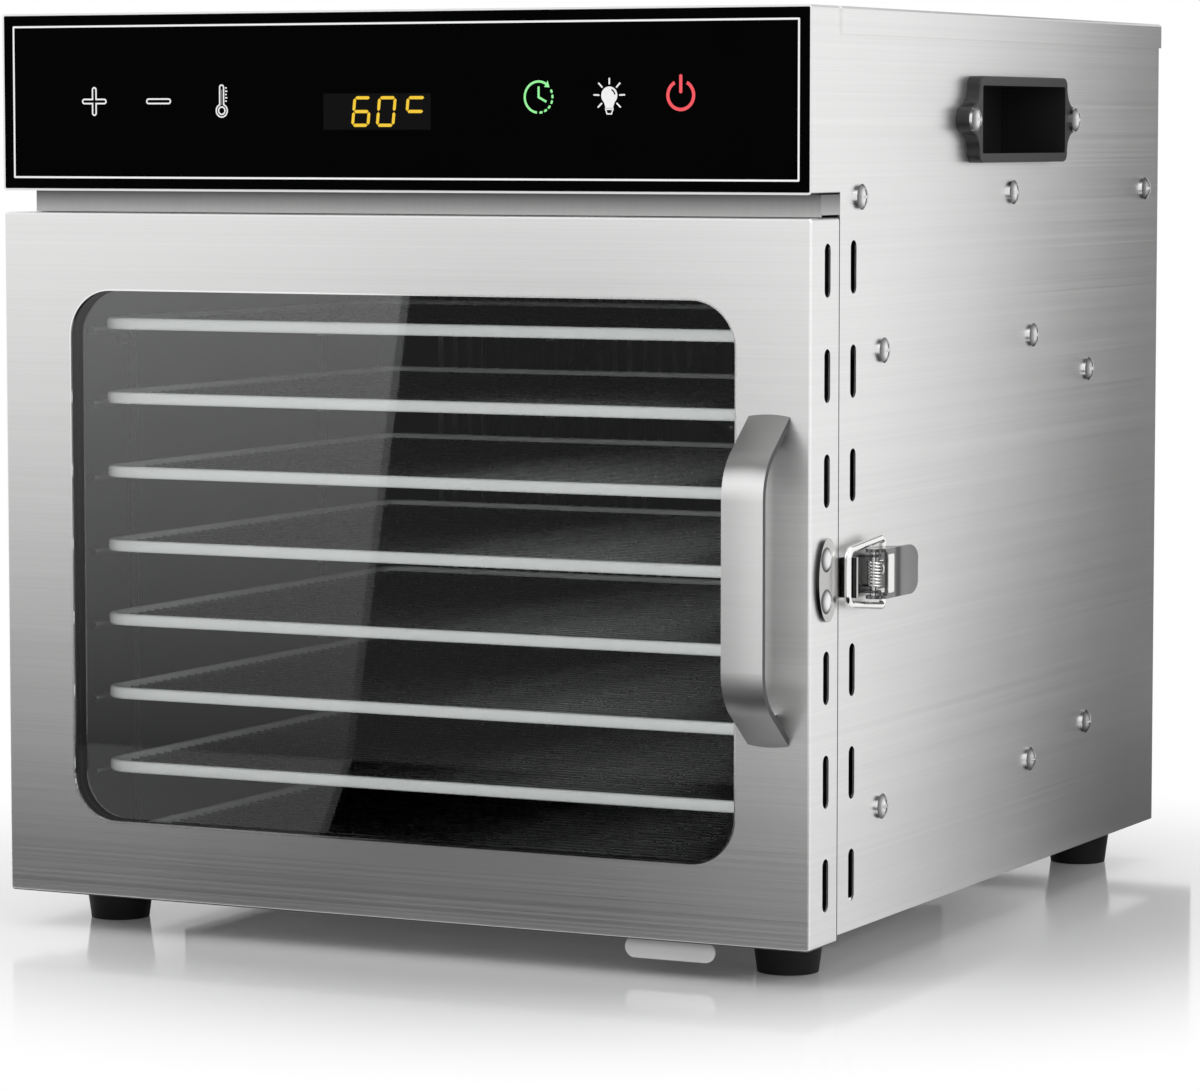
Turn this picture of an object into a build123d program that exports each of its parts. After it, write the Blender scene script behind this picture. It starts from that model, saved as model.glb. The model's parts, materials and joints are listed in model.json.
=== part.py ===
from build123d import *
import math
import os

# A countertop food dehydrator: a steel cabinet on four feet, a touch control head,
# a hinged window door with a draw latch, eight wire trays on side racks, and a fan
# and heater behind a slotted baffle.
# X runs to the right, Y to the back, Z up; the floor is Z = 0. Millimetres.

# Casing
cabinet_width = 345.0  # over the side panels
cabinet_depth = 344.0  # front frame to rear panel
cabinet_height = 342.2  # bottom pan to top cover
sheet = 0.8  # steel sheet
bend = 1.4  # outside radius of a folded edge
pan_lip = 12.0  # upturned edge of the bottom pan
cover_lip = 10.2  # downturned edge of the top cover
foot_height = 17.3
foot_top_radius = 14.0
foot_tip_radius = 11.6
foot_inset = 26.0  # foot centre from the side
foot_setback = 14.0  # foot centre from the cabinet's front
foot_advance = 21.0  # foot centre from the cabinet's back
foot_recess_radius = 6.0
foot_web = 6.0  # rubber left above the screw recess

# Door and control head
door_thickness = 25.2
door_gap = 0.8  # door to front frame
door_drop = 2.8  # door below the cabinet's bottom
head_height = 68.6
head_gap = 8.4  # door to control head
window_margin = 30.0
window_corner = 18.0
glass_thickness = 4.0
glass_overlap = 6.0  # glass behind the window's edge
glass_play = 0.4
retainer_thickness = 1.2
gasket_thickness = 3.0
gasket_width = 5.0
gasket_play = 0.3  # gasket to front frame
gasket_inset = 1.0  # gasket outside the frame's opening
panel_thickness = 3.0  # black touch glass
panel_play = 0.15
panel_ledge = 5.0
sill_setback = 8.4  # header strip behind the door's front
sill_inset = 9.7  # left end of the header strip
sill_play = 1.0  # header strip above the door

# Vent slots in the sides of door and cabinet
slot_length = 19.7
panel_slot_rise = 0.8  # cabinet's slots above the door's
slot_width = 5.4
slot_pitch = 38.4
slot_first = 36.2  # first slot's centre from the latch height
slots_each_way = 3
door_slot_depth = 14.8
cabinet_slot_depth = 12.8

# Chamber, trays and racks
side_wall = 13.0  # outer face to chamber
floor_rise = 3.7
control_room = 65.5  # top cover to chamber ceiling
fan_room = 90.0  # baffle to rear panel
frame_lip = 4.0  # front frame over the chamber's edge
frame_head = 18.0  # door top to the frame's opening
ceiling_lip = 10.0
baffle_flange = 10.0
tray_count = 8
tray_pitch = 29.4
tray_rise = 10.9  # lowest tray's rim above the floor
tray_side_gap = 8.5
tray_front_gap = 4.0
tray_rear_gap = 8.0
tray_corner = 12.0
rim_radius = 2.0
net_thickness = 1.6
net_bar = 1.6
net_edge = 4.0  # rim centre to the first gap
net_columns = 18
net_rows = 14
rod_radius = 1.5
rod_offset = 3.0  # rod centre outside the rim's centre
rod_play = 0.3
post_radius = 2.0
weld = 0.5  # depth that welded wires share
post_setback = 40.0  # front post from the cabinet's front
post_advance = 59.0  # rear post from the baffle
rack_end = 5.0  # post past the end rods
rack_screw_low = 31.0  # lower rack screw above the lowest rod
rack_screw_high = 3.0  # upper rack screw below the highest rod
rack_boss_radius = 4.0
slit_width = 3.0
slit_length = 23.0
slit_pitch = 7.1
slit_row_pitch = 31.0
slit_columns = 37
slit_rows = 7

# Fasteners
screw_radius = 2.0
screw_head_radius = 4.8
screw_head_height = 2.9
screw_head_rim = 1.1
cross_length = 5.4
cross_width = 1.2
cross_depth = 1.6
screw_play = 0.1
casing_screw_length = 7.0
rear_screw_length = 6.0
foot_screw_tail = 1.2
rivet_radius = 1.6
rivet_head_radius = 4.6
rivet_head_height = 1.6
rivet_tail = 1.6
ceiling_screw_inset = 18.0
baffle_screw_rise = 48.0
baffle_screw_fall = 78.0
rear_screw_inset = 10.0
rear_lip = 18.0  # side panel's edge behind the rear panel

# Handle
handle_reach = 24.5  # door to the grip's front
handle_length = 122.0
handle_slope = 52.0  # legs against the door
handle_width = 16.5
handle_thickness = 2.4
handle_crown = 0.6
handle_inset = 16.5  # handle centre from the door's right edge
handle_bend = 20.0
handle_heel = 10.0  # heel under each leg, along the door
handle_heel_width = 7.0
handle_screw_inset = 9.0  # screw from the handle's end
handle_screw_bite = 6.0

# Side grips
grip_drop = 41.0  # below the top
grip_length = 96.0
grip_height = 33.6
grip_stand = 5.5
grip_lobe_radius = 5.2
grip_lobe_pitch = 109.0
grip_blend = 7.8  # hollow flank of each lobe
grip_corner = 3.6
grip_wall = 1.6
grip_border = 3.6  # face above and below the hand opening
grip_end_border = 3.0
grip_edge = 0.7
hand_corner = 1.2
grip_depth = 24.0  # hand recess behind the side panel
grip_play = 0.4

# Hinges
hinge_height = 46.0
hinge_knuckle = 3.2
hinge_pin = 1.5
hinge_leaf = 1.5
hinge_leaf_width = 21.0
hinge_offset = 3.6  # pin axis outside the side panel
hinge_play = 0.3
pin_play = 0.06
hinge_screw_pitch = 24.0
hinge_screw_reach = 13.0  # screw from the pin axis

# Latch
latch_rise = 1.8  # latch, handle and slots above the door's middle
keeper_height = 31.0
keeper_front = 5.0  # behind the door's front
keeper_rear = 22.0
keeper_sheet = 1.4
keeper_rivet_depth = 11.6
keeper_rivet_pitch = 15.4
tongue_height = 15.0
lip_height = 6.6
bail_radius = 1.4
bail_height = 28.5
bail_bar_height = 22.6
bail_bar_stand = 3.9  # bar centre off the side
bail_play = 0.4
bail_bend = 3.6
bail_end_bend = 1.9
tongue_lift = 0.4  # tongue off the cabinet's side
pivot_depth = 20.5  # lever pin behind the cabinet's front
pivot_stand = 5.6
toggle = 8.8  # lever pin to bail pivot
toggle_dip = 0.3
base_front = 13.5
base_rear = 43.0
base_sheet = 1.2
ear_thickness = 1.0
ear_gap = 12.4
ear_radius = 2.6
base_rivet_depths = (29.0, 38.0)
base_rivet_head = 2.6
base_rivet_cap = 1.0
lever_height = 18.6
lever_sheet = 1.2
lever_web_stand = 10.3
lever_web_setback = 1.5  # web's front edge behind the pin
lever_straight = 38.0  # end of the lever's flat, behind the cabinet's front
lever_tip_depth = 48.0
lever_tip_stand = 11.8
lever_corner = 5.0
lever_nose = 3.2
coil_wire = 0.55  # wire radius
coil_end_wire = 0.5
coil_radius = 2.45
coil_turns = 6
coil_pitch = 1.62

# Crumb tray
crumb_width = 248.0
crumb_depth = 190.0
crumb_height = 6.6
crumb_sheet = 0.8
crumb_setback = 29.0  # tray's front behind the cabinet's front
crumb_play = 0.5
crumb_tab_width = 37.0
crumb_tab_offset = 112.0
crumb_tab_setback = 9.0  # pull lip behind the door's front
crumb_tab_corner = 4.0
crumb_lip_floor = 6.0  # pull lip above the floor
runner_sheet = 1.0
runner_lip = 6.0
drain_length = 44.0
drain_width = 6.0
drain_columns = 4
drain_rows = 6
drain_column_pitch = 52.0
drain_row_pitch = 26.0

# Fan, heater, lamp and sensors
fan_radius = 72.0
fan_blades_count = 5
fan_hub_radius = 13.0
fan_hub_length = 15.0
fan_blade_thickness = 1.4
fan_blade_chord = 40.0
fan_root_chord = 16.0
fan_tip_bulge = 3.2
fan_pitch_angle = 28.0
shaft_radius = 3.0
shaft_play = 0.06
motor_size = 58.0
motor_stack = 26.0
motor_bearing_radius = 12.0
motor_bearing_length = 7.0
motor_post_radius = 4.0
motor_post_length = 11.0
motor_post_pitch = 44.0
fan_stand_off = 3.0  # motor bearing to fan hub
heater_radius = 86.0
heater_tube = 3.4
heater_stand = 12.0  # behind the baffle
heater_gap_angle = 40.0
lamp_x = 16.0
lamp_rise = 166.0  # above the chamber floor
lamp_radius = 13.0
lamp_bezel = 16.0
lamp_bezel_thickness = 2.0
lamp_dome = 4.5
lamp_body_depth = 12.0
lamp_wall = 1.6
probe_x = -112.0
probe_rise = 252.0
probe_radius = 2.2
probe_reach = 16.0
probe_tail = 10.0
probe_nut_radius = 5.0
probe_nut = 2.4

# Electronics and mains entry
board_thickness = 1.6
display_x = -5.5
display_width = 46.0
display_height = 13.6
display_depth = 6.0
display_drop = 38.2  # below the top of the control head
control_board_width = 300.0
control_board_height = 52.0
board_tab_width = 12.0
board_tab_reach = 14.0
board_tab_offset = 120.0
connector_size = 14.0
capacitor_radius = 7.0
capacitor_height = 22.0
capacitor_pitch = 21.0
power_board_width = 130.0
power_board_depth = 96.0
power_pillar_radius = 3.2
power_pillar_height = 8.0
power_pillar_inset = 7.0
terminal_width = 44.0
gland_x = 128.0
gland_rise = 34.0  # above the chamber ceiling
gland_bore = 3.7
gland_neck = 6.2
gland_flange = 10.0
gland_cap = 8.0
gland_reach = 12.0
gland_nut = 4.0
gland_play = 0.2
intake_hole = 3.0
intake_rings = 4
intake_first = 34.0
intake_step = 10.0
intake_first_count = 24
intake_step_count = 7
cooling_slots = 9
cooling_slot_pitch = 12.0
cooling_slot_length = 30.0
wiring_width = 160.0  # window in the front frame behind the control head
wiring_height = 34.0

# Levels and planes that follow from the sizes above
half_width = cabinet_width / 2
inner_half = half_width - sheet
cabinet_bottom = foot_height
cabinet_top = cabinet_bottom + cabinet_height
cover_under = cabinet_top - sheet
head_bottom = cabinet_top - head_height
door_bottom = cabinet_bottom - door_drop
door_top = head_bottom - head_gap
door_height = door_top - door_bottom
door_mid = (door_bottom + door_top) / 2
front_depth = door_thickness + door_gap
overall_depth = handle_reach + front_depth + cabinet_depth + gland_reach
door_front = handle_reach - overall_depth / 2
door_back = door_front + door_thickness
cabinet_front = door_front + front_depth
cabinet_back = cabinet_front + cabinet_depth
cabinet_mid = (cabinet_front + cabinet_back) / 2
frame_back = cabinet_front + sheet
rear_inside = cabinet_back - sheet
chamber_half = half_width - side_wall
chamber_floor = cabinet_bottom + floor_rise
chamber_ceiling = cabinet_top - control_room
fan_level = (chamber_floor + chamber_ceiling) / 2
baffle_front = cabinet_back - fan_room
baffle_back = baffle_front + sheet
opening_half = chamber_half - frame_lip
opening_bottom = chamber_floor + frame_lip - sheet
opening_top = door_top - frame_head
window_width = cabinet_width - 2 * window_margin
window_height = door_height - 2 * window_margin
tray_half = chamber_half - tray_side_gap - rim_radius
tray_front = cabinet_front + tray_front_gap + rim_radius
tray_back = baffle_front - tray_rear_gap - rim_radius
tray_levels = [chamber_floor + tray_rise + k * tray_pitch for k in range(tray_count)]
rod_x = tray_half + rod_offset
rod_drop = math.sqrt((rim_radius + rod_radius + rod_play) ** 2 - rod_offset**2)
post_x = rod_x + rod_radius + post_radius - weld
post_depths = (cabinet_front + post_setback, baffle_front - post_advance)
rod_low = tray_levels[0] - rod_drop
rod_high = tray_levels[-1] - rod_drop
rack_screw_levels = (rod_low + rack_screw_low, rod_high - rack_screw_high)
screw_hole = screw_radius + screw_play
flange_low = cabinet_bottom + pan_lip + sheet
flange_high = chamber_ceiling - ceiling_lip
rear_screw_x = inner_half - rear_screw_inset
pan_screw_level = cabinet_bottom + sheet + pan_lip / 2
lip_screw_levels = (fan_level, flange_high - rear_screw_inset)
ceiling_screw_level = chamber_ceiling + sheet - ceiling_lip / 2
ceiling_screw_depths = (cabinet_front + ceiling_screw_inset, cabinet_mid, cabinet_back - ceiling_screw_inset)
baffle_screw_depth = baffle_front + baffle_flange / 2
baffle_screw_levels = (chamber_floor + baffle_screw_rise, chamber_ceiling - baffle_screw_fall)
grip_level = cabinet_top - grip_drop
grip_screw_depths = (cabinet_mid - grip_lobe_pitch / 2, cabinet_mid + grip_lobe_pitch / 2)
slot_offsets = [slot_first + k * slot_pitch for k in range(slots_each_way)]
latch_level = door_mid + latch_rise
slot_levels = [latch_level + way * offset for way in (-1, 1) for offset in slot_offsets]
hinge_levels = (latch_level - slot_offsets[1], latch_level + slot_offsets[1])
hinge_side_levels = [level for level in slot_levels if level not in hinge_levels]
hinge_x = -half_width - hinge_offset
hinge_y = door_back + door_gap / 2
hinge_screw_ways = (-hinge_screw_pitch / 2, hinge_screw_pitch / 2)
lamp_level = chamber_floor + lamp_rise
probe_level = chamber_floor + probe_rise
gland_level = chamber_ceiling + gland_rise
foot_places = [
    (side * (half_width - foot_inset), depth)
    for depth in (cabinet_front + foot_setback, cabinet_back - foot_advance)
    for side in (-1, 1)
]


def across(y):
    """Upright plane across the cabinet at depth y, facing the front, with X and Z as its axes."""
    return Plane(origin=(0, y, 0), x_dir=(1, 0, 0), z_dir=(0, -1, 0))


def along(x):
    """Upright plane along the cabinet's side at x, facing right, with Y and Z as its axes."""
    return Plane(origin=(x, 0, 0), x_dir=(0, 1, 0), z_dir=(1, 0, 0))


def outward(side, y, z):
    """Plane on the outside of a side panel, facing out: side is -1 for the left, 1 for the right."""
    return Plane(origin=(side * half_width, y, z), x_dir=(0, 1, 0), z_dir=(side, 0, 0))


def pan_head_screw(length):
    """Pan head screw with a cross recess; its head stands on the plane Z = 0."""
    with BuildPart() as screw:
        with BuildSketch(Plane.XZ):
            with BuildLine():
                Polyline(
                    (0, screw_head_height),
                    (0, -length),
                    (screw_radius, -length),
                    (screw_radius, 0),
                    (screw_head_radius, 0),
                    (screw_head_radius, screw_head_rim),
                )
                TangentArc(
                    (0, screw_head_height),
                    (screw_head_radius, screw_head_rim),
                    tangent=(1, 0),
                )
            make_face()
        revolve(axis=Axis.Z)
        with BuildSketch(Plane.XY.offset(screw_head_height)):
            Rectangle(cross_length, cross_width)
            Rectangle(cross_width, cross_length)
        extrude(amount=-cross_depth, mode=Mode.SUBTRACT)
    return screw.part


def rivet(head_radius, head_height, grip):
    """Domed rivet; its head stands on the plane Z = 0 and its tail lies behind the grip."""
    with BuildPart() as piece:
        with BuildSketch(Plane.XZ):
            with BuildLine():
                Polyline(
                    (0, head_height),
                    (0, -grip - rivet_tail),
                    (rivet_radius + rivet_tail / 2, -grip - rivet_tail),
                    (rivet_radius + rivet_tail / 2, -grip),
                    (rivet_radius, -grip),
                    (rivet_radius, 0),
                    (head_radius, 0),
                )
                TangentArc((0, head_height), (head_radius, 0), tangent=(1, 0))
            make_face()
        revolve(axis=Axis.Z)
    return piece.part


# Bottom pan, with the crumb opening and the foot holes
crumb_front = cabinet_front + crumb_setback
crumb_mid = crumb_front + crumb_depth / 2
drain_field_width = drain_columns * drain_column_pitch
drain_field_depth = drain_rows * drain_row_pitch
with BuildPart() as bottom_pan:
    with BuildSketch(Plane.XY.offset(cabinet_bottom)):
        with Locations((0, cabinet_mid)):
            Rectangle(2 * inner_half, cabinet_depth - 2 * sheet)
        with Locations((0, crumb_mid)):
            Rectangle(drain_field_width, drain_field_depth, mode=Mode.SUBTRACT)
        with Locations(*foot_places):
            Circle(screw_hole, mode=Mode.SUBTRACT)
    extrude(amount=sheet)
    with BuildSketch(Plane.XY.offset(cabinet_bottom + sheet)):
        with Locations((0, cabinet_mid)):
            Rectangle(2 * inner_half, cabinet_depth - 2 * sheet)
        with Locations((0, cabinet_mid - sheet / 2)):
            Rectangle(2 * inner_half - 2 * sheet, cabinet_depth - 3 * sheet, mode=Mode.SUBTRACT)
    extrude(amount=pan_lip - sheet)
    with BuildSketch(across(rear_inside)):
        with Locations((-rear_screw_x, pan_screw_level), (rear_screw_x, pan_screw_level)):
            Circle(screw_hole)
    extrude(amount=sheet, mode=Mode.SUBTRACT)


# Side panels, with vent slots, screw holes, the grip's opening and holes for latch or hinges
grip_cut_length = grip_length - 2 * grip_end_border + 2 * grip_wall + 2 * grip_play
grip_cut_height = grip_height - 2 * grip_border + 2 * grip_wall + 2 * grip_play
casing_points = [(depth, ceiling_screw_level) for depth in ceiling_screw_depths]
casing_points += [(baffle_screw_depth, level) for level in baffle_screw_levels]
rack_points = [(depth, level) for depth in post_depths for level in rack_screw_levels]
grip_points = [(depth, grip_level) for depth in grip_screw_depths]
cabinet_hinge_points = [
    (hinge_y + hinge_screw_reach, level + way) for level in hinge_levels for way in hinge_screw_ways
]
door_hinge_points = [
    (hinge_y - hinge_screw_reach, level + way) for level in hinge_levels for way in hinge_screw_ways
]
latch_rivet_points = [(cabinet_front + depth, latch_level) for depth in base_rivet_depths]


def side_panel(side):
    """Side panel with a lip along its rear edge: latch on the right one, hinges on the left one."""
    levels = slot_levels if side > 0 else hinge_side_levels
    with BuildPart() as panel:
        with BuildSketch(along(side * (half_width - sheet / 2) - sheet / 2)):
            with Locations((cabinet_mid, (cabinet_bottom + cover_under) / 2)):
                Rectangle(cabinet_depth, cover_under - cabinet_bottom)
            slot_y = cabinet_front + cabinet_slot_depth
            with Locations(*[(slot_y, level + panel_slot_rise) for level in levels]):
                SlotOverall(slot_length, slot_width, rotation=90, mode=Mode.SUBTRACT)
            with Locations(*casing_points, *rack_points, *grip_points):
                Circle(screw_hole, mode=Mode.SUBTRACT)
            with Locations((cabinet_mid, grip_level)):
                Rectangle(grip_cut_length, grip_cut_height, mode=Mode.SUBTRACT)
            if side > 0:
                with Locations(*latch_rivet_points):
                    Circle(rivet_radius + screw_play, mode=Mode.SUBTRACT)
            else:
                with Locations(*cabinet_hinge_points):
                    Circle(screw_hole, mode=Mode.SUBTRACT)
        extrude(amount=sheet)
        with BuildSketch(across(rear_inside)):
            with Locations((side * (inner_half - rear_lip / 2), (flange_low + flange_high) / 2)):
                Rectangle(rear_lip, flange_high - flange_low)
            with Locations(*[(side * rear_screw_x, level) for level in lip_screw_levels]):
                Circle(screw_hole, mode=Mode.SUBTRACT)
        extrude(amount=sheet)
    return panel.part


# Top cover, whose edges fold down over the sides and the back
with BuildPart() as top_cover:
    with BuildSketch(Plane.XY.offset(cabinet_top - cover_lip)):
        with Locations((0, cabinet_mid + sheet / 2)):
            Rectangle(cabinet_width + 2 * sheet, cabinet_depth + sheet)
    extrude(amount=cover_lip)
    fillet(top_cover.edges().filter_by(Axis.Y).group_by(Axis.Z)[-1], bend)
    with BuildSketch(Plane.XY.offset(cabinet_top - cover_lip)):
        with Locations((0, cabinet_mid)):
            Rectangle(cabinet_width, cabinet_depth)
    extrude(amount=cover_lip - sheet, mode=Mode.SUBTRACT)


# Rear panel, with the air intake, cooling slots and the cord's gland hole
rear_screw_points = [
    (side * rear_screw_x, level)
    for side in (-1, 1)
    for level in (pan_screw_level, *lip_screw_levels)
]
motor_post_points = [(side * motor_post_pitch / 2, fan_level) for side in (-1, 1)]
with BuildPart() as rear_panel:
    with BuildSketch(across(rear_inside)):
        with Locations((0, (cabinet_bottom + cover_under) / 2)):
            Rectangle(2 * inner_half, cover_under - cabinet_bottom)
        for ring in range(intake_rings):
            with Locations((0, fan_level)):
                holes = intake_first_count + ring * intake_step_count
                with PolarLocations(intake_first + ring * intake_step, holes):
                    Circle(intake_hole, mode=Mode.SUBTRACT)
        with Locations((0, gland_level)):
            with GridLocations(cooling_slot_pitch, 0, cooling_slots, 1):
                SlotOverall(cooling_slot_length, slot_width, rotation=90, mode=Mode.SUBTRACT)
        with Locations((gland_x, gland_level)):
            Circle(gland_neck + gland_play, mode=Mode.SUBTRACT)
        with Locations(*rear_screw_points, *motor_post_points):
            Circle(screw_hole, mode=Mode.SUBTRACT)
    extrude(amount=-sheet)


# Front frame around the chamber's opening, with a wiring window behind the control head
with BuildPart() as front_frame:
    with BuildSketch(across(cabinet_front)):
        with Locations((0, (cabinet_bottom + cover_under) / 2)):
            Rectangle(2 * inner_half, cover_under - cabinet_bottom)
        with Locations((0, (opening_bottom + opening_top) / 2)):
            Rectangle(2 * opening_half, opening_top - opening_bottom, mode=Mode.SUBTRACT)
        with Locations((0, (head_bottom + cover_under) / 2)):
            Rectangle(wiring_width, wiring_height, mode=Mode.SUBTRACT)
    extrude(amount=-sheet)


# Control head: folded housing, ledge for the glass and tabs for the board
head_mid = (head_bottom + cabinet_top) / 2
board_front = door_front + panel_thickness + display_depth
with BuildPart() as control_housing:
    with BuildSketch(across(door_front)):
        with Locations((0, head_mid)):
            Rectangle(cabinet_width, head_height)
    extrude(amount=-front_depth)
    fillet(control_housing.edges().filter_by(Axis.Y), bend)
    with BuildSketch(across(door_front)):
        with Locations((0, head_mid)):
            RectangleRounded(cabinet_width - 2 * sheet, head_height - 2 * sheet, bend - sheet)
    extrude(amount=-front_depth, mode=Mode.SUBTRACT)
    with BuildSketch(across(door_front + panel_thickness)):
        with Locations((0, head_mid)):
            Rectangle(cabinet_width - 2 * sheet, head_height - 2 * sheet)
            Rectangle(
                cabinet_width - 2 * sheet - 2 * panel_ledge,
                head_height - 2 * sheet - 2 * panel_ledge,
                mode=Mode.SUBTRACT,
            )
    extrude(amount=-sheet)
    with BuildSketch(across(board_front + board_thickness)):
        for way in (-1, 1):
            with Locations((0, head_mid + way * (head_height / 2 - sheet - board_tab_reach / 2))):
                with GridLocations(2 * board_tab_offset, 0, 2, 1):
                    Rectangle(board_tab_width, board_tab_reach)
    extrude(amount=-sheet)


# Black touch glass, set into the housing
with BuildPart() as touch_panel:
    with BuildSketch(across(door_front)):
        with Locations((0, head_mid)):
            RectangleRounded(
                cabinet_width - 2 * sheet - 2 * panel_play,
                head_height - 2 * sheet - 2 * panel_play,
                bend - sheet,
            )
    extrude(amount=-panel_thickness)


# Display module and control board behind the glass
display_level = cabinet_top - display_drop
with BuildPart() as display_module:
    with BuildSketch(across(door_front + panel_thickness)):
        with Locations((display_x, display_level)):
            Rectangle(display_width, display_height)
    extrude(amount=-display_depth)

with BuildPart() as control_board:
    with BuildSketch(across(board_front)):
        with Locations((0, head_mid)):
            Rectangle(control_board_width, control_board_height)
    extrude(amount=-board_thickness)
    with BuildSketch(across(board_front + board_thickness)):
        with Locations((0, head_mid)):
            with GridLocations(4 * connector_size, 0, 2, 1):
                Rectangle(2 * connector_size, connector_size)
    extrude(amount=-connector_size / 2)


# Header strip between the control head and the door
sill_bottom = door_top + sill_play
sill_width = cabinet_width - sill_inset
sill_front = door_front + sill_setback
with BuildPart() as header_strip:
    with BuildSketch(across(sill_front)):
        with Locations((sill_inset / 2, (sill_bottom + head_bottom) / 2)):
            Rectangle(sill_width, head_bottom - sill_bottom)
    extrude(amount=-(cabinet_front - sill_front))
    with BuildSketch(across(sill_front + sheet)):
        with Locations((sill_inset / 2, (sill_bottom + head_bottom + sheet) / 2)):
            Rectangle(sill_width - 2 * sheet, head_bottom - sill_bottom - sheet)
    extrude(amount=-(cabinet_front - sill_front - sheet), mode=Mode.SUBTRACT)


# Chamber liner: two walls, a ceiling with screwed flanges and a drained floor
def liner_wall(side):
    """Flat wall of the chamber, pierced for the rack screws."""
    with BuildPart() as wall:
        with BuildSketch(along(side * (chamber_half + sheet / 2) - sheet / 2)):
            with Locations(((frame_back + baffle_front) / 2, (chamber_floor + chamber_ceiling) / 2)):
                Rectangle(baffle_front - frame_back, chamber_ceiling - chamber_floor)
            with Locations(*rack_points):
                Circle(screw_hole, mode=Mode.SUBTRACT)
        extrude(amount=sheet)
    return wall.part


power_pillar_places = [
    (x, cabinet_mid + y)
    for x in (power_pillar_inset - power_board_width / 2, power_board_width / 2 - power_pillar_inset)
    for y in (power_pillar_inset - power_board_depth / 2, power_board_depth / 2 - power_pillar_inset)
]
with BuildPart() as liner_ceiling:
    with BuildSketch(Plane.XY.offset(chamber_ceiling)):
        with Locations((0, cabinet_mid)):
            Rectangle(2 * inner_half, cabinet_depth - 2 * sheet)
    extrude(amount=sheet)
    with BuildSketch(Plane.XY.offset(chamber_ceiling + sheet - ceiling_lip)):
        with Locations((0, cabinet_mid)):
            with GridLocations(2 * inner_half - sheet, 0, 2, 1):
                Rectangle(sheet, cabinet_depth - 2 * sheet)
    extrude(amount=ceiling_lip)
    for side in (-1, 1):
        with Locations(*[outward(side, depth, level) for depth, level in casing_points[:3]]):
            Hole(screw_hole, depth=3 * sheet)
    with BuildSketch(Plane.XY.offset(chamber_ceiling + sheet)):
        with Locations(*power_pillar_places):
            Circle(power_pillar_radius)
    extrude(amount=power_pillar_height)

with BuildPart() as liner_floor:
    with BuildSketch(Plane.XY.offset(chamber_floor - sheet)):
        with Locations((0, (frame_back + baffle_front) / 2)):
            Rectangle(2 * (chamber_half + sheet), baffle_front - frame_back)
        with Locations((0, crumb_mid)):
            with GridLocations(drain_column_pitch, drain_row_pitch, drain_columns, drain_rows):
                SlotOverall(drain_length, drain_width, mode=Mode.SUBTRACT)
    extrude(amount=sheet)
    with BuildSketch(Plane.XY.offset(cabinet_bottom + sheet)):
        with Locations((0, (frame_back + baffle_front) / 2)):
            with GridLocations(2 * chamber_half + sheet, 0, 2, 1):
                Rectangle(sheet, baffle_front - frame_back)
    extrude(amount=floor_rise - 2 * sheet)


# Rear baffle: slotted plate with side flanges, and seats for the lamp and the probe
slit_places = [
    ((column - (slit_columns - 1) / 2) * slit_pitch, fan_level + (row - (slit_rows - 1) / 2) * slit_row_pitch)
    for column in range(slit_columns)
    for row in range(slit_rows)
]
lamp_keep_out = lamp_bezel + slit_pitch / 2
open_slits = [
    (x, z)
    for x, z in slit_places
    if abs(x - lamp_x) > lamp_keep_out or abs(z - lamp_level) > lamp_keep_out + slit_length / 2
]
with BuildPart() as rear_baffle:
    with BuildSketch(across(baffle_front)):
        with Locations((0, (cabinet_bottom + sheet + chamber_ceiling) / 2)):
            Rectangle(2 * (inner_half - 2 * sheet), chamber_ceiling - cabinet_bottom - sheet)
        with Locations((0, (flange_low + flange_high) / 2)):
            Rectangle(2 * inner_half, flange_high - flange_low)
        with Locations(*open_slits):
            Rectangle(slit_width, slit_length, mode=Mode.SUBTRACT)
        with Locations((lamp_x, lamp_level)):
            Circle(lamp_radius + screw_play, mode=Mode.SUBTRACT)
        with Locations((probe_x, probe_level)):
            Circle(probe_radius + screw_play, mode=Mode.SUBTRACT)
    extrude(amount=-sheet)
    with BuildSketch(across(baffle_front)):
        with Locations((0, (flange_low + flange_high) / 2)):
            with GridLocations(2 * inner_half - sheet, 0, 2, 1):
                Rectangle(sheet, flange_high - flange_low)
    extrude(amount=-baffle_flange)
    for side in (-1, 1):
        with Locations(*[outward(side, depth, level) for depth, level in casing_points[3:]]):
            Hole(screw_hole, depth=3 * sheet)


# Tray racks: two posts and eight rods a side, held off the liner by bosses
def tray_rack(side):
    """Welded wire rack whose rods carry the trays' rims."""
    rack_bottom = rod_low - rack_end
    rack_height = rod_high - rod_low + 2 * rack_end
    rod_start = cabinet_front + tray_front_gap
    rod_length = baffle_front - tray_rear_gap - rod_start
    with BuildPart() as rack:
        with BuildSketch(Plane.XY.offset(rack_bottom)):
            with Locations(*[(side * post_x, depth) for depth in post_depths]):
                Circle(post_radius)
        extrude(amount=rack_height)
        with BuildSketch(across(rod_start)):
            with Locations(*[(side * rod_x, level - rod_drop) for level in tray_levels]):
                Circle(rod_radius)
        extrude(amount=-rod_length)
        with BuildSketch(along(side * chamber_half)):
            with Locations(*rack_points):
                Circle(rack_boss_radius)
        extrude(amount=-side * (chamber_half - post_x))
        with BuildSketch(along(side * chamber_half)):
            with Locations(*rack_points):
                Circle(screw_hole)
        extrude(amount=-side * (chamber_half - post_x), mode=Mode.SUBTRACT)
    return rack.part


wall_gap = side_wall - 2 * sheet
with BuildPart() as wall_spacers:
    for side in (-1, 1):
        with BuildSketch(along(side * (half_width - sheet))):
            with Locations(*rack_points):
                Circle(rack_boss_radius)
                Circle(screw_hole, mode=Mode.SUBTRACT)
        extrude(amount=-side * wall_gap)


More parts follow.
